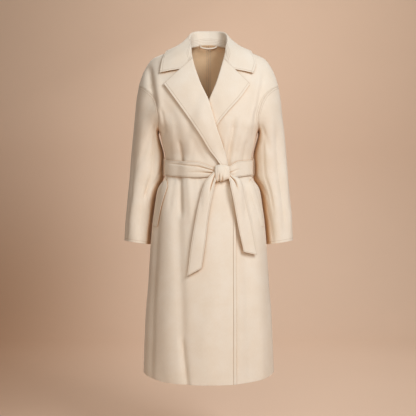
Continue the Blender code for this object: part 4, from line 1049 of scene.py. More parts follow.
def wool(name, lines):
    """Soft cream double-faced wool: a short nap over a faint twill, with its rows of stitches. Its
    colour also holds painted shade: warm darkening deep in folds and under edges, in the stitched
    grooves and on the inner face.
    """
    settings = bpy.context.scene.coat_cloth
    made = bpy.data.materials.new(name)
    made.use_nodes = True
    tree = made.node_tree
    shader = tree.nodes["Principled BSDF"]
    weave = add_node(tree, "ShaderNodeUVMap", uv_map="cloth").outputs["UV"]
    place = add_node(tree, "ShaderNodeTexCoord").outputs["Object"]
    nap = noise(tree, weave, 1.0 / settings.nap_size, 3.0, 0.6)
    lay = noise(tree, stretched(tree, weave, LAY_SCALE), 1.0, 2.0)
    patches = noise(tree, place, PATCH_SCALE, 3.0, 0.55)
    slub = noise(tree, stretched(tree, weave, SLUB_SCALE), 1.0, 2.0)
    turned = add_node(tree, "ShaderNodeMapping", {"Vector": weave, "Rotation": RIB_TURN})
    ribs = {"Scale": RIB_SCALE, "Distortion": 1.2, "Detail Scale": 3.0}
    ribs["Vector"] = turned.outputs["Vector"]
    rib = add_node(tree, "ShaderNodeTexWave", ribs).outputs["Fac"]
    groove, thread = stitch_lines(tree, lines, weave)
    height = weighted(
        tree, (nap, NAP_RELIEF), (lay, LAY_RELIEF), (rib, RIB_RELIEF),
        (groove, GROOVE_RELIEF), (thread, THREAD_RELIEF),
    )
    relief = {"Height": height, "Strength": settings.relief, "Distance": RELIEF_DEPTH}
    bumps = add_node(tree, "ShaderNodeBump", relief)
    tree.links.new(bumps.outputs["Normal"], shader.inputs["Normal"])
    tone = weighted(tree, (patches, PATCH_TONE), (slub, SLUB_TONE), (nap, NAP_TONE))
    tone = soft_step(tree, tone, *TONE_RANGE)
    cloth = mixed(tree, tone, opaque(settings.shade), opaque(settings.colour))
    # Painted shade: the inner face is multiplied by a warmer, darker colour, standing in for the shade
    # inside the coat; the wool is the same on both faces.
    inside = add_node(tree, "ShaderNodeAttribute", attribute_name="inside").outputs["Fac"]
    faced = mixed(tree, inside, cloth, opaque(settings.inner_face_painted_shade), "MULTIPLY")
    # Painted shade: the colour is darkened along each stitched groove, standing in for the shade in
    # the groove.
    groove_shade_share = compute(tree, "MULTIPLY", groove, GROOVE_SHADE)
    sewn = mixed(tree, groove_shade_share, faced, opaque(settings.groove_painted_shade))
    # Painted shade: the colour is darkened towards a warm brown where other cloth is near (within
    # fold_reach), standing in for the shade deep in folds, under edges and between parts.
    near = {"Distance": settings.fold_reach}
    openness = add_node(tree, "ShaderNodeAmbientOcclusion", near, samples=PAINTED_SHADE_SAMPLES)
    painted_shade_share = soft_step(tree, openness.outputs["AO"], *PAINTED_SHADE_OPEN_RANGE, 1.0, 0.0)
    folded = mixed(tree, painted_shade_share, sewn, opaque(settings.painted_fold_shade), "MULTIPLY")
    tree.links.new(folded, shader.inputs["Base Color"])
    roughness = soft_step(tree, nap, *NAP_RANGE, *WOOL_ROUGHNESS)
    tree.links.new(roughness, shader.inputs["Roughness"])
    shader.inputs["Sheen Weight"].default_value = settings.sheen
    shader.inputs["Sheen Roughness"].default_value = SHEEN_ROUGHNESS
    shader.inputs["Sheen Tint"].default_value = SHEEN_TINT
    shader.inputs["Specular IOR Level"].default_value = WOOL_SPECULAR
    return made


def panel_levels():
    """Levels of a front or back: even on the skirt and chest, and even along the shoulder."""
    skirt = np.linspace(HEM, UNDERARM, PANEL_ROWS + 1)[:-1]
    turn = np.linspace(math.pi, 0, ARMHOLE_STEPS + 1)
    armhole = (SHOULDER_TIP + UNDERARM) / 2 + (SHOULDER_TIP - UNDERARM) / 2 * np.cos(turn)
    fine = np.linspace(SHOULDER_TIP, 0, 400)
    reach = look_up(BODY, BODY_COLUMNS, "half_width", fine)
    along = np.concatenate([[0], np.cumsum(np.hypot(np.diff(fine), np.diff(reach)))])
    shoulder = np.interp(np.linspace(0, along[-1], SHOULDER_ROWS + 1)[1:], along, fine)
    return np.concatenate([skirt, armhole, shoulder])


def finish_panel(middle, normals, levels, side):
    """Sets the shared normals of the armhole and moves the underarm corner out a little."""
    on_seam = (levels >= UNDERARM - 1e-6) & (levels <= SHOULDER_TIP + 1e-6)
    normals[on_seam, 0] = turn_down(normals[on_seam, 0], levels[on_seam])
    corner = np.argmin(np.abs(levels - UNDERARM))
    middle[corner, 0] += (side * UNDERARM_TURN, 0, UNDERARM_TURN)


def seam_marks(first=0.0, second=0.0, third=0.0):
    """Three lengths for each point of a grid, one for each stitched edge."""
    return np.stack(np.broadcast_arrays(first, second, third), axis=-1)


def strip_marks(middle):
    """The marks of a strip: from its first long edge, its nearer end and its last long edge."""
    across = lengths(middle, 1)
    along = lengths(middle, 0)
    return seam_marks(across, np.minimum(along, to_end(along, 0)), to_end(across, 1))


def build_back(side, finish):
    """Half the back, from the side seam and armhole to the centre back seam."""
    levels = panel_levels()
    across = shares(BACK_COLUMNS, SEAM_SHARES, SEAM_SHARES)
    start = outer_angle(levels)[:, None]
    angle = start + (math.pi / 2 - start) * across[None, :]
    height = np.broadcast_to(levels[:, None], angle.shape)
    middle, normals = body_point(side, BACK, angle, height)
    from_side = lengths(middle, 1)
    from_centre = to_end(from_side, 1)
    from_hem = lengths(middle, 0)
    middle = middle + normals * (seam_dip(from_side) + seam_dip(from_centre))[..., None]
    finish_panel(middle, normals, levels, side)
    normals[-1] = seam_normal(normals[-1], middle[-1], np.ones(len(across)))
    normals[:, -1, 0] = 0
    free = np.zeros(angle.shape, bool)
    free[0] = True
    marks = seam_marks(from_centre, from_hem, from_side)
    node = "back_" + SIDE_NAME[side]
    sew(node, middle, unit(normals), marks, WALL, finish, "hung", free=free, worn_in=1.0)


def front_edge_reach(side, height):
    """Where a front ends: its roll line down to the break, then its straight front edge."""
    roll = look_up(ROLL_LINE[side], ROLL_COLUMNS, "reach", height)
    edge = -OVER_EDGE if side == RIGHT else -UNDER_EDGE
    below = ease((BREAK_HEIGHT - height) / EDGE_FADE)
    return roll * (1 - below) + edge * below


def build_front(side, finish):
    """A front, from the side seam and armhole to its roll line and its straight edge."""
    levels = panel_levels()
    across = shares(FRONT_COLUMNS, SEAM_SHARES, EDGE_SHARES)
    start = outer_angle(levels)[:, None]
    end = angle_at(front_edge_reach(side, levels), levels)[:, None]
    angle = start + (end - start) * across[None, :]
    height = np.broadcast_to(levels[:, None], angle.shape)
    middle, normals = body_point(side, FRONT, angle, height)
    from_side = lengths(middle, 1)
    from_edge = to_end(from_side, 1)
    from_hem = lengths(middle, 0)
    below_break = ease((BREAK_HEIGHT - FACING_START - height) / FACING_FADE)
    strip = FACING_RISE * ease((EDGE_STITCH + 0.0008 - from_edge) / 0.0022)
    if side == RIGHT:
        strip = strip + EDGE_CURL * ease(1 - from_edge / EDGE_CURL_REACH)
    middle = middle + normals * (seam_dip(from_side) + strip * below_break)[..., None]
    finish_panel(middle, normals, levels, side)
    share = ease((levels - GORGE_HEIGHT) / GORGE_FADE)
    normals[-1] = seam_normal(normals[-1], middle[-1], np.ones(len(across)))
    normals[:, -1] = seam_normal(normals[:, -1], middle[:, -1], share)
    free = np.zeros(angle.shape, bool)
    free[0] = True
    free[levels < BREAK_HEIGHT, -1] = True
    marks = seam_marks(from_edge, from_hem, from_side)
    node = "front_" + SIDE_NAME[side]
    sew(node, middle, normals, marks, WALL, finish, "hung", free=free, worn_in=1.0)


def roll_points(side, height, turns):
    """The half round of cloth that turns a front back on itself at its roll line."""
    reach = look_up(ROLL_LINE[side], ROLL_COLUMNS, "reach", height)
    start, normal = front_point(side, reach, height)
    further = front_point(side, reach - 0.004, height)[0]
    beyond = unit(further - start)
    beyond = unit(beyond - normal * np.sum(beyond * normal, axis=-1, keepdims=True))
    turn = np.asarray(turns)[None, :, None]
    out = normal[:, None] * (1 - np.cos(turn)) + beyond[:, None] * np.sin(turn)
    facing = normal[:, None] * np.cos(turn) - beyond[:, None] * np.sin(turn)
    return start[:, None] + out * LAPEL_ROLL[side], facing


def lapel_surface(side, down, across):
    """The turned-back part past its roll: down is 0 at the gorge, across is 0 at the roll."""
    rolled = 2 * LAPEL_ROLL[side]
    down = down[:, None]
    across = across[None, :]
    roll_height = GORGE_HEIGHT + (BREAK_HEIGHT - GORGE_HEIGHT) * down
    roll_reach = look_up(ROLL_LINE[side], ROLL_COLUMNS, "reach", roll_height)
    edge_reach = look_up(LAPEL_EDGE[side], LAPEL_COLUMNS, "reach", down)
    edge_height = look_up(LAPEL_EDGE[side], LAPEL_COLUMNS, "height", down)
    reach = roll_reach + (edge_reach - roll_reach) * across
    height = roll_height + (edge_height - roll_height) * across
    belly = LAPEL_BELLY[side] * np.sin(math.pi * across) ** 2 * np.sin(math.pi * down) ** 0.5
    lift = rolled + (LAPEL_EDGE_LIFT[side] - rolled) * ease(across) + belly
    return front_point(side, reach, height, lift)


def build_lapel(side, finish):
    """The part of a front that rolls over at the break and lies back on the chest."""
    down = shares(LAPEL_ROWS, LAPEL_END_SHARES, ())
    turns = np.linspace(0, math.pi, LAPEL_ROLL_STEPS + 1)
    across = shares(LAPEL_FALL_COLUMNS, (), LAPEL_EDGE_SHARES)[1:]
    roll_height = GORGE_HEIGHT + (BREAK_HEIGHT - GORGE_HEIGHT) * down
    rolled, rolled_normals = roll_points(side, roll_height, turns)
    fall, _ = lapel_surface(side, down, across)
    middle = np.concatenate([rolled, fall], axis=1)
    smoothed = relax(middle, LAPEL_RELAX)
    smoothed[:, : LAPEL_ROLL_STEPS // 2] = middle[:, : LAPEL_ROLL_STEPS // 2]
    middle = smoothed
    normals = grid_normals(middle)
    normals *= np.sign(np.sum(normals[:, 0] * rolled_normals[:, 0], axis=-1))[:, None, None]
    normals[:, 0] = rolled_normals[:, 0]
    from_roll = lengths(middle, 1)
    from_gorge = lengths(middle, 0)
    free = np.zeros(middle.shape[:2], bool)
    free[:, -1] = True
    free[0, LAPEL_ROLL_STEPS:] = True
    free[-1] = True
    marks = seam_marks(to_end(from_roll, 1), from_gorge, from_roll)
    under = ["front_%s_cloth" % SIDE_NAME[side]]
    node = "lapel_" + SIDE_NAME[side]
    sew(node, middle, normals, marks, WALL, finish, "folded", under, free=free)


def neck_seam(side, share):
    """The seam that the collar grows from: the back neck, the front neck and the roll line."""
    back = np.clip(share / NECK_BACK_SHARE, 0, 1)
    front = np.clip((share - NECK_BACK_SHARE) / NECK_FRONT_SHARE, 0, 1)
    roll = np.clip((share - (1 - NECK_ROLL_SHARE)) / NECK_ROLL_SHARE, 0, 1)
    neck = np.zeros_like(share)
    back_points, back_normals = body_point(side, BACK, (1 - back) * math.pi / 2, neck)
    height = GORGE_HEIGHT * roll
    end = angle_at(look_up(ROLL_LINE[side], ROLL_COLUMNS, "reach", height), height)
    front_points, front_normals = body_point(side, FRONT, end * front, height)
    on_back = (share <= NECK_BACK_SHARE)[:, None]
    points = np.where(on_back, back_points, front_points)
    turning = np.where(share <= NECK_BACK_SHARE, 1.0, ease((height - GORGE_HEIGHT) / GORGE_FADE))
    normals = seam_normal(np.where(on_back, back_normals, front_normals), points, turning)
    return points, normals


def through(points, count):
    """Evenly spread points on a smooth line through the given ones."""
    keys = np.linspace(0, 1, len(points))
    at = np.linspace(0, 1, count)
    return np.stack([smooth(keys, values, at) for values in points.T], axis=1)


def collar_end(side):
    """The collar's end at the gorge, which follows the lapel's upper edge out to the notch."""
    turns = np.array([0.0, math.pi / 2, math.pi])
    rolled, _ = roll_points(side, np.array([GORGE_HEIGHT]), turns)
    fall, _ = lapel_surface(side, np.array([0.0]), np.array([0.2, COLLAR_NOTCH_SHARE]))
    tip_reach, tip_height = COLLAR_TIP[side]
    notch = fall[0, -1]
    tip, tip_normal = front_point(side, tip_reach, tip_height, COLLAR_TIP_LIFT)
    crown = tip_normal * COLLAR_END_CROWN
    return np.stack([*rolled[0], fall[0, 0], notch, (notch + tip) / 2 + crown, tip])


def collar_front(side, seam):
    """The collar's form where it comes down in front of the neck, between fold and gorge."""
    turns = np.array([math.pi / 4, math.pi / 2, math.pi])
    rolled, _ = roll_points(side, np.array([GORGE_HEIGHT / 2]), turns)
    shift = np.array(COLLAR_FRONT_SHIFT) * (side, 1, 1)
    rolled = rolled[0] + shift * np.array([[0.6], [1.0], [1.0]])
    reach, height, lift = (np.array(COLLAR_FRONT_FALL[size]) for size in ("reach", "height", "lift"))
    fall, _ = front_point(side, reach, height, lift)
    return np.stack([seam, (seam + rolled[0]) / 2, *rolled, *fall])


def collar_stations(side):
    """Rows of the collar's form from the centre back to the gorge, seven points in each."""
    keys = np.array([row[0] for row in COLLAR] + [COLLAR_FRONT_SHARE, 1.0])
    seams, _ = neck_seam(side, keys)
    rows = []
    for seam, row in zip(seams, COLLAR):
        size = dict(zip(COLLAR_COLUMNS, row))
        fold = np.array([size["fold_reach"] * side, size["fold_depth"], size["fold_height"]])
        fall, edge = (
            body_point(
                side, size["facing"], angle_at(size[part + "_reach"], size[part + "_height"]),
                size[part + "_height"], size[part + "_lift"],
            )[0]
            for part in ("fall", "edge")
        )
        out = unit((fold - (0, COLLAR_NECK_DEPTH, 0)) * (1, 1, 0))
        inner = fold - out * COLLAR_ROLL - (0, 0, COLLAR_ROLL_DROP)
        outer = fold + out * COLLAR_ROLL - (0, 0, COLLAR_ROLL_DROP)
        rows.append(np.stack([seam, (seam + inner) / 2, inner, fold, outer, fall, edge]))
    rows.append(collar_front(side, seams[-2]))
    rows.append(collar_end(side))
    return np.array(rows), keys


def build_collar(finish):
    """Stand and fall in one, from tip to tip round the back of the neck."""
    at = np.linspace(0, 1, COLLAR_ROWS)
    halves = []
    seam_normals = []
    for side in (RIGHT, LEFT):
        stations, keys = collar_stations(side)
        path = np.empty((COLLAR_ROWS, stations.shape[1], 3))
        for point in range(stations.shape[1]):
            for axis in range(3):
                path[:, point, axis] = smooth(keys, stations[:, point, axis], at)
        seam, normal = neck_seam(side, at)
        path[:, 0] = seam
        halves.append(np.array([through(row, COLLAR_COLUMN_COUNT) for row in path]))
        seam_normals.append(normal)
    middle = relax(np.concatenate([halves[0][::-1], halves[1][1:]]), COLLAR_RELAX)
    normals = grid_normals(middle)
    normals *= np.sign(normals[COLLAR_ROWS - 1, 1, 1])
    normals[:, 0] = np.concatenate([seam_normals[0][::-1], seam_normals[1][1:]])
    from_neck = lengths(middle, 1)
    from_tip = lengths(middle, 0)
    from_tip = np.minimum(from_tip, to_end(from_tip, 0))
    free = np.zeros(middle.shape[:2], bool)
    free[:, -1] = True
    free[0, COLLAR_COLUMN_COUNT // 3:] = True
    free[-1, COLLAR_COLUMN_COUNT // 3:] = True
    marks = seam_marks(to_end(from_neck, 1), from_tip, from_neck)
    under = ["back_right_cloth", "back_left_cloth"]
    sew("collar", middle, normals, marks, WALL, finish, "folded", under, free=free)


def sleeve_ring(side, share, turns):
    """The plain rings of a sleeve at these shares of its length."""
    size = {name: look_up(SLEEVE, SLEEVE_COLUMNS, name, share) for name in SLEEVE_COLUMNS[1:]}
    across = np.cos(turns)[None, :]
    half_reach = (size["outer_reach"] - size["inner_reach"])[:, None] / 2
    half_height = (size["outer_height"] - size["inner_height"])[:, None] / 2
    reach = size["inner_reach"][:, None] + half_reach * (1 + across)
    height = size["inner_height"][:, None] + half_height * (1 + across)
    depth = size["middle"][:, None] - size["half_depth"][:, None] * np.sin(turns)[None, :]
    return np.stack([side * reach, depth, height], axis=-1)


def sleeve_folds(side, share, turns):
    """How far the sleeve's folds move the cloth out."""
    total = np.zeros((len(share), len(turns)))
    for row in SLEEVE_FOLDS:
        fold = dict(zip(SLEEVE_FOLD_COLUMNS, row))
        if fold["side"] != side:
            continue
        along = (share - fold["top_share"]) / (fold["low_share"] - fold["top_share"])
        centre = fold["top_angle"] + (fold["low_angle"] - fold["top_angle"]) * along
        away = np.angle(np.exp(1j * (turns[None, :] - centre[:, None])))
        ends = ease(along / 0.35 + 0.2) * ease((1 - along) / 0.35 + 0.5)
        total += fold["depth"] * ends[:, None] * bump(away, fold["half_width"])
    ripple = bpy.context.scene.coat_cloth.ripple_depth
    down = 2 * math.pi * share[:, None]
    total += ripple * np.sin(3 * turns[None, :] + 1.9 * down + side) * np.sin(2.3 * down + 0.7)
    return total * ease(share / 0.12)[:, None]


def build_sleeve(side, finish):
    """A sleeve, set into the armhole and open at the cuff."""
    share = shares(SLEEVE_ROWS, SLEEVE_TOP_SHARES, CUFF_SHARES) ** SLEEVE_RING_SPREAD
    turns = np.linspace(0, 2 * math.pi, 2 * ARMHOLE_STEPS + 1)
    loop, loop_normals = armhole_loop(side, turns)
    left = np.clip(1 - share / SLEEVE_FADE, 0, 1)[:, None, None] ** 2
    plain = sleeve_ring(side, share, turns)
    middle = plain + (loop[None] - plain[:1]) * left
    normals = grid_normals(middle, closed=True)
    normals *= side * np.sign(normals[-1, 0, 0])
    out = sleeve_folds(side, share, turns)
    from_armhole = lengths(middle, 0)
    from_cuff = to_end(from_armhole, 0)
    around = lengths(middle, 1)
    from_seam = np.abs(around - around[:, [ARMHOLE_STEPS]])
    below = ease(share / 0.1)[:, None]
    cuff = -CUFF_DIP * bump(from_cuff - CUFF_HEM, CUFF_DIP_SPREAD)
    out = out + seam_dip(from_armhole) + seam_dip(from_seam) * below + cuff
    middle = middle + normals * out[..., None]
    middle[:, -1] = middle[:, 0]
    normals[0] = loop_normals
    free = np.zeros(middle.shape[:2], bool)
    free[-1] = True
    marks = seam_marks(from_armhole, from_cuff, from_seam)
    cut = {"free": free, "closed": True, "worn_in": 1.0}
    under = ["front_%s_cloth" % SIDE_NAME[side]]
    sew("sleeve_" + SIDE_NAME[side], middle, normals, marks, WALL, finish, "hung", under, **cut)


def coat_surface(around, height):
    """The coat's outermost cloth at a turn round the body: 0 in front, growing to the left."""
    half_pi = math.pi / 2
    points = np.empty(around.shape + (3,))
    normals = np.empty(around.shape + (3,))
    for side, facing, chosen, angle in (
        (RIGHT, FRONT, (around > -half_pi) & (around <= OVER_FRONT_TURN), half_pi + around),
        (LEFT, FRONT, (around > OVER_FRONT_TURN) & (around <= half_pi), half_pi - around),
        (LEFT, BACK, around > half_pi, around - half_pi),
        (RIGHT, BACK, around <= -half_pi, -around - half_pi),
    ):
        points[chosen], normals[chosen] = body_point(side, facing, angle[chosen], height[chosen])
    return points, normals


def belt_creases(around, across, start, end):
    """The belt's lengthwise creases near the knot."""
    reach = WAIST_HALF_WIDTH
    from_end = {LEFT: (around - start) * reach, RIGHT: (end - around) * reach}
    total = np.zeros((len(around), len(across)))
    for row in BELT_CREASES:
        crease = dict(zip(BELT_CREASE_COLUMNS, row))
        away = from_end[crease["side"]][:, None]
        fade = ease(1 - away / crease["length"]) * ease(away / 0.010 + 0.3)
        centre = crease["across"] * (0.55 + 0.45 * ease(away / crease["length"]))
        total += crease["depth"] * fade * bump(across[None, :] - centre, crease["half_width"])
    return total


def build_belt(finish):
    """One long strip from the right of the knot, round the back, to the left of the knot."""
    knot_left, knot_right = (
        math.pi / 2 - float(angle_at(KNOT_CENTRE[0] + way * BELT_TUCK, WAIST)) for way in (1, -1)
    )
    around = np.linspace(knot_left, 2 * math.pi + knot_right, BELT_STEPS)
    across = crowded(BELT_ROWS, BELT_SIDE_SHARE)
    from_left = ease((around - around[0]) / BELT_LEFT_FADE)
    from_right = ease((around[-1] - around) / BELT_RIGHT_FADE)
    share = np.minimum(from_left, from_right)
    narrowed = (1 - BELT_END_SHARE[LEFT]) * (1 - from_left)
    narrowed = narrowed + (1 - BELT_END_SHARE[RIGHT]) * (1 - from_right)
    half_height = BELT_HEIGHT / 2 * (1 - narrowed)
    turned = np.angle(np.exp(1j * around))
    centre = belt_centre(turned)
    centre = centre + (1 - share) * (KNOT_CENTRE[1] - centre)
    surface, normals = coat_surface(turned, centre)
    flat = unit(normals * (1, 1, 0))
    for _ in range(BELT_EVEN):
        surface[1:-1] = (surface[:-2] + 2 * surface[1:-1] + surface[2:]) / 4
    lean = np.zeros(BELT_STEPS)
    for way in (-1, 0, 1):
        edge, _ = coat_surface(turned, centre + way * half_height)
        lean = np.maximum(lean, np.sum((edge - surface) * flat, axis=-1))
    for _ in range(8):
        lean = np.maximum(lean, (np.roll(lean, 1) + np.roll(lean, -1)) / 2)
    lift = WALL / 2 + BELT_WALL / 2 + BELT_STANDOFF + lean
    crease = belt_creases(around, across, around[0], around[-1])
    wave = BELT_WAVE * np.sin(around * 7.0 + 0.6)[:, None] * np.sin(around * 2.3)[:, None]
    out = lift[:, None] + crease + BELT_CROWN * (1 - across[None, :] ** 2)
    middle = surface[:, None] + flat[:, None] * out[..., None]
    middle[..., 2] = centre[:, None] + across[None, :] * half_height[:, None] + wave
    normals = grid_normals(middle)
    normals *= np.sign(np.sum(normals[1, 1] * flat[1]))
    wall = BELT_WALL * (1 - BELT_EDGE_THINNING * bump(1 - np.abs(across), BELT_EDGE_SPREAD))[None, :]
    under = ["front_right_cloth", "front_left_cloth"]
    sew("belt_waist", middle, normals, strip_marks(middle), wall, finish, "stretched", under)


def knot_base(height):
    """How far forward the belt's cloth lies where the knot sits on it."""
    behind = KNOT_CENTRE[0] + KNOT_HALF_WIDTH * np.linspace(-1.1, 1.1, 9)
    cloth = [front_point(RIGHT, -behind, height + rise)[0] for rise in (-0.016, 0.0, 0.016)]
    return np.min(np.array(cloth)[..., 1]) - WALL / 2


def build_knot(finish):
    """The belt's end, wrapped once over itself and drawn into folds."""
    base = knot_base(KNOT_CENTRE[1])
    across = crowded(KNOT_COLUMN_COUNT, KNOT_SIDE_SHARE)
    profile = through(np.array(KNOT_PROFILE), KNOT_ROWS)
    u, v = np.meshgrid(across, np.linspace(0, 1, KNOT_ROWS))
    side = np.maximum(1 - np.abs(u) ** (2.9 - 0.9 * u), 0) ** (0.45 + 0.6 * ease(u))
    least = 0.22 + 0.16 * ease(u)
    out = profile[:, 1:] * (least + (1 - least) * side)
    x = KNOT_HALF_WIDTH * u + KNOT_BIAS * u * u
    x = x * (1 - KNOT_NARROWING * ease(1 - v / 0.5))
    z = profile[:, :1] - KNOT_TOP_DROP * u * u * ease(1 - v / 0.4)
    z = z + KNOT_LOW_RISE * ease((u - 0.05) / 0.95) * ease((v - 0.45) / 0.4)
    middle = np.stack([KNOT_CENTRE[0] + x, base - out, KNOT_CENTRE[1] + z], axis=-1)
    normals = grid_normals(middle)
    normals *= -np.sign(normals[KNOT_ROWS // 2, KNOT_COLUMN_COUNT // 2, 1])
    fold = np.zeros(u.shape)
    for row in KNOT_CREASES:
        crease = dict(zip(KNOT_CREASE_COLUMNS, row))
        centre = crease["top"] + (crease["low"] - crease["top"]) * v
        ends = ease((v - crease["start"]) / 0.22) * ease((crease["end"] - v) / 0.22)
        fold += crease["depth"] * ends * bump(u - centre, crease["half_width"] * (0.7 + 0.6 * v))
    middle = relax(middle + normals * fold[..., None], 2)
    normals = grid_normals(middle)
    normals *= -np.sign(normals[KNOT_ROWS // 2, KNOT_COLUMN_COUNT // 2, 1])
    marks = strip_marks(middle)
    sew("belt_knot", middle, normals, marks, KNOT_WALL, finish, "folded", ["belt_waist_cloth"])


def build_tail(side, finish):
    """A free end of the belt, hanging just off the skirt."""
    share = shares(TAIL_ROWS, (), TAIL_END_SHARES)
    across = shares(TAIL_COLUMN_COUNT, TAIL_SIDE_SHARES, TAIL_SIDE_SHARES)[None, :] * 2 - 1
    size = {name: look_up(BELT_TAILS[side], TAIL_COLUMNS, name, share) for name in TAIL_COLUMNS[1:]}
    path = np.stack([size["middle_x"], size["height"]], axis=1)
    along = unit(np.gradient(path, share, axis=0))
    sideways = np.stack([-along[:, 1], along[:, 0]], axis=1)
    spread = size["half_width"][:, None] * across
    flat = path[:, None] + sideways[:, None] * spread[..., None]
    slant = TAIL_END_SLANT[side] * across * ease((share - 0.7) / 0.3)[:, None]
    surface, normals = front_point(RIGHT, -flat[..., 0], flat[..., 1] + slant)
    clearance = size["clearance"][:, None] + TAIL_BOW * (1 - across**2)
    down = share[:, None]
    from_fold = across - TAIL_FOLD_PLACE[side] - 0.5 * down
    fold = TAIL_FOLD * ease(1 - down / TAIL_FOLD_LENGTH) * bump(from_fold, TAIL_FOLD_WIDTH)
    wave = TAIL_WAVE * np.sin(2 * math.pi * (down * 1.7 + 0.15 * across * side)) * ease(down / 0.3)
    facing = unit(normals * (1, 1, TAIL_LEAN))
    middle = surface + facing * (clearance + fold + wave)[..., None]
    middle = relax(middle, 1)
    normals = grid_normals(middle)
    normals *= np.sign(np.sum(normals[5, 5] * facing[5, 5]))
    from_left = lengths(middle, 1)
    marks = seam_marks(from_left, to_end(lengths(middle, 0), 0), to_end(from_left, 1))
    node = "belt_tail_" + SIDE_NAME[side]
    sew(node, middle, normals, marks, TAIL_WALL, finish, "hung", ["belt_knot_cloth"])


def build_belt_loop(side, finish):
    """A narrow carrier that holds the belt at the side seam."""
    turn = np.linspace(-1, 1, LOOP_ROWS)
    heights = float(belt_centre(math.pi / 2)) + LOOP_HALF_HEIGHT * turn
    bridge = ease((1 - np.abs(turn)) / LOOP_BRIDGE)
    base, _ = body_point(side, FRONT, np.zeros(LOOP_ROWS), heights)
    on_cloth = np.abs(base[:, 0]) + WALL / 2 + LOOP_WALL / 2 + LOOP_STANDOFF
    over_belt = WAIST_HALF_WIDTH + WALL / 2 + BELT_WALL + LOOP_CLEARANCE
    reach = np.maximum(on_cloth, LOOP_FOOT_REACH + (over_belt - LOOP_FOOT_REACH) * bridge)
    shift = np.linspace(-LOOP_WIDTH / 2, LOOP_WIDTH / 2, LOOP_COLUMNS)
    depth = LOOP_MIDDLE + shift[None, :] + LOOP_SWAY * np.sin(2.1 * turn)[:, None]
    crown = LOOP_CROWN * (1 - (2 * shift / LOOP_WIDTH) ** 2)
    middle = np.stack(np.broadcast_arrays(
        side * (reach[:, None] + crown[None, :]), depth, heights[:, None]
    ), axis=-1)
    middle = relax(middle, 2)
    normals = grid_normals(middle)
    normals *= side * np.sign(normals[LOOP_ROWS // 2, 1, 0])
    under = ["front_%s_cloth" % SIDE_NAME[side]]
    node = "belt_loop_" + SIDE_NAME[side]
    sew(node, middle, normals, strip_marks(middle), LOOP_WALL, finish, "stretched", under)


def build_welt(side, finish):
    """A slanted pocket welt, which closes the pocket's mouth on the front."""
    along = shares(WELT_ROWS, WELT_END_SHARES, WELT_END_SHARES)
    inner = WELT_TOP[0] + (WELT_LOW[0] - WELT_TOP[0]) * along
    heights = WELT_TOP[1] + (WELT_LOW[1] - WELT_TOP[1]) * along
    start = angle_at(inner, heights)
    step = 0.05
    nearby, _ = body_point(side, FRONT, start - step, heights)
    distance = np.linalg.norm(nearby - front_point(side, inner, heights)[0], axis=-1)
    across = shares(WELT_COLUMNS, WELT_SIDE_SHARES, WELT_SIDE_SHARES)
    angle = start[:, None] - (step * WELT_WIDTH / distance)[:, None] * across[None, :]
    slant = WELT_SLANT * ease(1 - along / WELT_SLANT_SHARE)[:, None] * (1 - across)[None, :]
    height = heights[:, None] - slant
    swell = WELT_SWELL * np.sin(math.pi * along)[:, None] * (1 - across)[None, :] ** 2
    sunk = WELT_SINK[side] * ease(1 - across / WELT_SINK_SHARE)[None, :]
    lift = WALL / 2 + WELT_WALL / 2 + WELT_STANDOFF[side] + swell - sunk
    middle, normals = body_point(side, FRONT, angle, height, lift)
    under = ["front_%s_cloth" % SIDE_NAME[side]]
    node = "pocket_welt_" + SIDE_NAME[side]
    sew(node, middle, normals, strip_marks(middle), WELT_WALL, finish, "laid", under)


def build_hanger_loop(finish):
    """A narrow rolled strip across the inside of the back neck, which sags between its ends."""
    along = np.linspace(-1, 1, HANGER_ROWS)
    across = crowded(HANGER_COLUMNS, 1.0)
    height = HANGER_HEIGHT - HANGER_SAG * (1 - along**2) ** 0.5
    depth = HANGER_DEPTH - HANGER_BOW * (1 - along**2)
    x = HANGER_HALF_WIDTH * along
    flat = across[None, :] * HANGER_STRIP / 2
    crown = HANGER_CROWN * (1 - across**2)[None, :]
    middle = np.stack(np.broadcast_arrays(
        x[:, None], depth[:, None] + crown, height[:, None] + flat
    ), axis=-1)
    normals = grid_normals(middle)
    normals *= np.sign(normals[HANGER_ROWS // 2, HANGER_COLUMNS // 2, 1])
    marks = strip_marks(middle)
    under = ["collar_cloth"]
    sew("hanger_loop", middle, normals, marks, HANGER_WALL, finish, "hung", under, "hanger_tape")


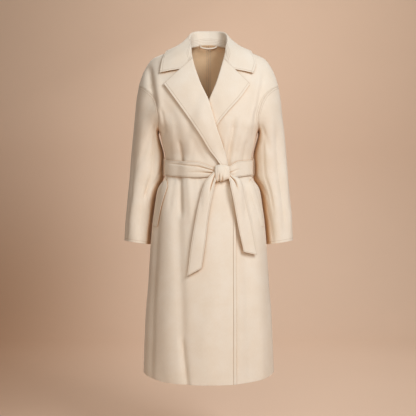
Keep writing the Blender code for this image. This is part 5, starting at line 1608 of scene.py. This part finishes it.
class ClothSettings(bpy.types.PropertyGroup):
    """The coat's cloth: its colours and how far it is creased."""

    colour: bpy.props.FloatVectorProperty(
        name="Wool colour", description="The colour of the nap where the light falls on it",
        default=(0.895, 0.810, 0.696), size=3, min=0.0, max=1.0, subtype="COLOR",
    )
    shade: bpy.props.FloatVectorProperty(
        name="Deep colour", description="The colour between the fibres and in the mottle",
        default=(0.860, 0.750, 0.615), size=3, min=0.0, max=1.0, subtype="COLOR",
    )
    # Painted shade on the inner face: a warmer, darker colour standing in for the shade inside the
    # coat, not a different cloth.
    inner_face_painted_shade: bpy.props.FloatVectorProperty(
        name="Inner tint", description="How the inner face of the cloth differs from the outer one",
        default=(1.000, 0.810, 0.600), size=3, min=0.0, max=1.0, subtype="COLOR",
    )
    # Painted shade in the stitched grooves: the colour that a groove is darkened towards, standing in
    # for the shade in it.
    groove_painted_shade: bpy.props.FloatVectorProperty(
        name="Stitched groove", description="The colour where a row of stitches pulls the nap down",
        default=(0.640, 0.510, 0.380), size=3, min=0.0, max=1.0, subtype="COLOR",
    )
    # Painted shade: the warm brown that the wool's colour is darkened towards where other cloth is
    # near, standing in for the shade deep in folds and under edges. fold_reach below is how near that
    # cloth has to be.
    painted_fold_shade: bpy.props.FloatVectorProperty(
        name="Fold tint", description="The tint of the wool deep in a fold or under an edge",
        default=(0.760, 0.530, 0.320), size=3, min=0.0, max=1.0, subtype="COLOR",
    )
    fold_reach: bpy.props.FloatProperty(
        name="Fold reach", description="How near other cloth has to be for a fold to be tinted",
        default=0.024, min=0.0, max=0.2, unit="LENGTH",
    )
    relief: bpy.props.FloatProperty(
        name="Relief", description="How strongly nap, twill and stitches stand out",
        default=0.60, min=0.0, max=1.0, subtype="FACTOR",
    )
    sheen: bpy.props.FloatProperty(
        name="Sheen", description="How bright the nap is where it is seen at a slant",
        default=0.22, min=0.0, max=1.0, subtype="FACTOR",
    )
    nap_size: bpy.props.FloatProperty(
        name="Nap size", description="The distance from one tuft of the nap to the next",
        default=0.0011, min=0.0004, max=0.004, unit="LENGTH", precision=4,
    )
    gather_depth: bpy.props.FloatProperty(
        name="Gather depth", description="How deep the small pleats at the belt are",
        default=0.0006, min=0.0, max=0.002, unit="LENGTH", precision=4,
    )
    ripple_depth: bpy.props.FloatProperty(
        name="Ripple depth", description="How uneven the hanging cloth is",
        default=0.0006, min=0.0, max=0.0012, unit="LENGTH", precision=4,
    )
    fold_strength: bpy.props.FloatProperty(
        name="Fine creases", description="How deep the fine creases are beside their usual depth",
        default=1.0, min=0.0, max=1.5, subtype="FACTOR",
    )


class StageSettings(bpy.types.PropertyGroup):
    """The plain floor and wall, the lights and the camera."""

    # The backdrop's colour in the middle of its painted pool of light; the next colour is the one
    # outside that pool.
    backdrop: bpy.props.FloatVectorProperty(
        name="Backdrop colour", description="The colour of the floor and the wall beside the coat",
        default=(0.890, 0.672, 0.518), size=3, min=0.0, max=1.0, subtype="COLOR",
    )
    # The backdrop's colour outside its painted pool of light.
    backdrop_past_painted_light: bpy.props.FloatVectorProperty(
        name="Backdrop edge", description="The colour that the backdrop fades to further out",
        default=(0.700, 0.515, 0.385), size=3, min=0.0, max=1.0, subtype="COLOR",
    )
    key_power: bpy.props.FloatProperty(
        name="Key light", description="The strength of the large light at the front",
        default=56.0, min=0.0, max=1000.0, unit="POWER",
    )
    fill_power: bpy.props.FloatProperty(
        name="Fill light", description="The strength of the weaker light on the other side",
        default=32.0, min=0.0, max=1000.0, unit="POWER",
    )
    back_power: bpy.props.FloatProperty(
        name="Back light", description="The strength of the light behind and above the coat",
        default=24.0, min=0.0, max=1000.0, unit="POWER",
    )
    wall_power: bpy.props.FloatProperty(
        name="Wall light", description="The strength of the light that falls on the wall alone",
        default=42.0, min=0.0, max=1000.0, unit="POWER",
    )
    sky_strength: bpy.props.FloatProperty(
        name="Surround", description="The strength of the even light from all round",
        default=0.15, min=0.0, max=5.0,
    )
    lens: bpy.props.FloatProperty(
        name="Lens", description="The focal length of the camera on its 36 mm sensor",
        default=70.7, min=20.0, max=200.0, unit="CAMERA",
    )


def wool_for(*lines):
    """The wool with these rows of stitches; each is a seam mark (X, Y or Z) and its distance."""
    name = "wool_" + "_".join("%s%02d" % (mark.lower(), round(far * 1000)) for mark, far in lines)
    return bpy.data.materials.get(name) or wool(name, lines)


class COAT_OT_backs(bpy.types.Operator):
    """Hang the two backs, which meet in the centre back seam"""

    bl_idname = "coat.backs"
    bl_label = "Backs"

    def execute(self, context):
        finish = wool_for(("X", SEAM_LINE), ("X", SEAM_STITCH), ("Z", SEAM_STITCH))
        for side in (RIGHT, LEFT):
            build_back(side, finish)
        return {"FINISHED"}


class COAT_OT_fronts(bpy.types.Operator):
    """Hang the two fronts, the right one over the left"""

    bl_idname = "coat.fronts"
    bl_label = "Fronts"

    def execute(self, context):
        finish = wool_for(("X", EDGE_STITCH), ("Z", SEAM_LINE), ("Z", SEAM_STITCH))
        for side in (RIGHT, LEFT):
            build_front(side, finish)
        return {"FINISHED"}


class COAT_OT_lapels(bpy.types.Operator):
    """Turn the lapels back at their roll lines"""

    bl_idname = "coat.lapels"
    bl_label = "Lapels"

    def execute(self, context):
        finish = wool_for(("X", LAPEL_STITCH), ("Y", TRIM_STITCH))
        for side in (RIGHT, LEFT):
            build_lapel(side, finish)
        return {"FINISHED"}


class COAT_OT_collar(bpy.types.Operator):
    """Set the collar on the neck seam and fold it over"""

    bl_idname = "coat.collar"
    bl_label = "Collar"

    def execute(self, context):
        rows = [("Z", height) for height in STAND_ROWS]
        build_collar(wool_for(("X", LAPEL_STITCH), ("Y", COLLAR_END_STITCH), *rows))
        return {"FINISHED"}


class COAT_OT_sleeves(bpy.types.Operator):
    """Set the sleeves into the dropped armholes"""

    bl_idname = "coat.sleeves"
    bl_label = "Sleeves"

    def execute(self, context):
        rows = (("X", SEAM_LINE), ("X", SEAM_STITCH), ("Y", CUFF_HEM), ("Z", SEAM_STITCH))
        finish = wool_for(*rows)
        for side in (RIGHT, LEFT):
            build_sleeve(side, finish)
        return {"FINISHED"}


class COAT_OT_belt(bpy.types.Operator):
    """Tie the belt: the strip round the waist, the knot and the two hanging ends"""

    bl_idname = "coat.belt"
    bl_label = "Belt"

    def execute(self, context):
        build_belt(wool_for(("X", BELT_STITCH), ("Z", BELT_STITCH)))
        build_knot(wool_for(("X", 0.0)))
        finish = wool_for(("X", BELT_STITCH), ("Y", BELT_STITCH), ("Z", BELT_STITCH))
        for side in (RIGHT, LEFT):
            build_tail(side, finish)
        return {"FINISHED"}


class COAT_OT_belt_loops(bpy.types.Operator):
    """Sew a belt carrier over each side seam"""

    bl_idname = "coat.belt_loops"
    bl_label = "Belt loops"

    def execute(self, context):
        finish = wool_for(("X", TRIM_STITCH), ("Y", LOOP_END_STITCH), ("Z", TRIM_STITCH))
        for side in (RIGHT, LEFT):
            build_belt_loop(side, finish)
        return {"FINISHED"}


class COAT_OT_pocket_welts(bpy.types.Operator):
    """Sew a slanted welt over each pocket mouth"""

    bl_idname = "coat.pocket_welts"
    bl_label = "Pocket welts"

    def execute(self, context):
        build_welt(RIGHT, wool_for(("Y", WELT_STITCH), ("Z", WELT_STITCH)))
        build_welt(LEFT, wool_for(("Z", WELT_STITCH)))
        return {"FINISHED"}


class COAT_OT_hanger_loop(bpy.types.Operator):
    """Sew the hanger loop inside the back neck"""

    bl_idname = "coat.hanger_loop"
    bl_label = "Hanger loop"

    def execute(self, context):
        build_hanger_loop(wool_for(("Y", HANGER_STITCH)))
        return {"FINISHED"}


def add_light(name, power, size, place, aim, colour):
    """A rectangular light at a place, turned to face the aim."""
    lamp = bpy.data.lights.new(name, "AREA")
    lamp.shape = "RECTANGLE"
    lamp.size, lamp.size_y = size
    lamp.energy = power
    lamp.color = colour
    light = put_in_scene(name, lamp)
    light.location = place
    turn = (Vector(aim) - Vector(place)).to_track_quat("-Z", "Y")
    light.rotation_euler = turn.to_euler()


def backdrop_finish(settings):
    """Matt painted board, with a painted pool of light beside the coat, painted shade towards its
    lower left and a faint unevenness.
    """
    made = bpy.data.materials.new("backdrop_paint")
    made.use_nodes = True
    tree = made.node_tree
    shader = tree.nodes["Principled BSDF"]
    place = add_node(tree, "ShaderNodeTexCoord").outputs["Object"]
    seen = stretched(tree, place, (1.0, 0.0, 1.0))
    # Painted light: the backdrop is lighter in a soft pool beside the coat, with a faint random
    # unevenness over it.
    away = add_node(tree, "ShaderNodeVectorMath", {0: seen, 1: PAINTED_LIGHT_PLACE}, operation="DISTANCE")
    pool = soft_step(tree, away.outputs["Value"], PAINTED_LIGHT_REACH, 0.0)
    clouds = noise(tree, place, CLOUD_SCALE, 2.0)
    cloud = soft_step(tree, clouds, *CLOUD_RANGE, -CLOUD_DEPTH, CLOUD_DEPTH)
    lit = compute(tree, "ADD", pool, cloud)
    paint = mixed(tree, lit, opaque(settings.backdrop_past_painted_light), opaque(settings.backdrop))
    # Painted shade: the backdrop is darkened towards its lower left.
    corner = add_node(tree, "ShaderNodeVectorMath", {0: seen, 1: CORNER_SHADE_PLACE}, operation="DISTANCE")
    corner_shade = soft_step(tree, corner.outputs["Value"], CORNER_SHADE_REACH, CORNER_SHADE_CORE)
    dim = mixed(tree, corner_shade, paint, CORNER_SHADE_TINT, "MULTIPLY")
    tree.links.new(dim, shader.inputs["Base Color"])
    shader.inputs["Roughness"].default_value = PAINT_ROUGHNESS
    shader.inputs["Specular IOR Level"].default_value = PAINT_SPECULAR
    return made


class COAT_OT_stage(bpy.types.Operator):
    """Set up the plain floor and wall, the lights and the camera"""

    bl_idname = "coat.stage"
    bl_label = "Stage"

    def execute(self, context):
        settings = context.scene.coat_stage
        turn = np.linspace(0, math.pi / 2, SWEEP_STEPS)
        bend_y = WALL_Y - SWEEP_RADIUS + SWEEP_RADIUS * np.sin(turn)
        bend_z = FLOOR_Z + SWEEP_RADIUS - SWEEP_RADIUS * np.cos(turn)
        profile = [(-STAGE_REACH, FLOOR_Z), *zip(bend_y, bend_z), (WALL_Y, WALL_TOP)]
        sweep = bmesh.new()
        line = [sweep.verts.new((-STAGE_REACH, y, z)) for y, z in profile]
        edges = [sweep.edges.new(pair) for pair in zip(line, line[1:])]
        moved = bmesh.ops.extrude_edge_only(sweep, edges=edges)["geom"]
        across = [item for item in moved if isinstance(item, bmesh.types.BMVert)]
        bmesh.ops.translate(sweep, verts=across, vec=(2 * STAGE_REACH, 0, 0))
        bmesh.ops.recalc_face_normals(sweep, faces=sweep.faces[:])
        mesh = bpy.data.meshes.new("backdrop")
        sweep.to_mesh(mesh)
        sweep.free()
        mesh.shade_smooth()
        mesh.materials.append(backdrop_finish(settings))
        board = put_in_scene("backdrop", mesh)

        for name, power, size, place, aim, colour in LIGHTS:
            add_light(name, getattr(settings, power), size, place, aim, colour)
        world = bpy.data.worlds.new("surround")
        context.scene.world = world
        world.use_nodes = True
        sky = world.node_tree.nodes["Background"]
        sky.inputs["Color"].default_value = SKY_COLOUR
        sky.inputs["Strength"].default_value = settings.sky_strength

        lens = bpy.data.cameras.new("front_camera")
        lens.sensor_fit = "HORIZONTAL"
        lens.sensor_width = SENSOR_WIDTH
        lens.lens = settings.lens
        camera = put_in_scene("front_camera", lens)
        camera.location = CAMERA_PLACE
        camera.rotation_euler = (math.pi / 2, 0, 0)
        context.scene.camera = camera
        context.scene.view_settings.view_transform = "Standard"
        return {"FINISHED"}


OPERATORS = (
    COAT_OT_backs,
    COAT_OT_fronts,
    COAT_OT_lapels,
    COAT_OT_collar,
    COAT_OT_sleeves,
    COAT_OT_belt,
    COAT_OT_belt_loops,
    COAT_OT_pocket_welts,
    COAT_OT_hanger_loop,
    COAT_OT_stage,
)


class COAT_PT_panel(bpy.types.Panel):
    """The coat's settings, and a button for each piece of it"""

    bl_label = "Wrap coat"
    bl_space_type = "VIEW_3D"
    bl_region_type = "UI"
    bl_category = "Coat"

    def draw(self, context):
        for settings in (context.scene.coat_cloth, context.scene.coat_stage):
            box = self.layout.box()
            for name in settings.__annotations__:
                box.prop(settings, name)
        for operator in OPERATORS:
            self.layout.operator(operator.bl_idname)


CLASSES = (ClothSettings, StageSettings, *OPERATORS, COAT_PT_panel)


def register():
    for each in CLASSES:
        bpy.utils.register_class(each)
    bpy.types.Scene.coat_cloth = bpy.props.PointerProperty(type=ClothSettings)
    bpy.types.Scene.coat_stage = bpy.props.PointerProperty(type=StageSettings)


def unregister():
    del bpy.types.Scene.coat_cloth
    del bpy.types.Scene.coat_stage
    for each in reversed(CLASSES):
        bpy.utils.unregister_class(each)


def main():
    register()
    for operator in OPERATORS:
        group, name = operator.bl_idname.split(".")
        getattr(getattr(bpy.ops, group), name)()


if __name__ == "__main__":
    main()
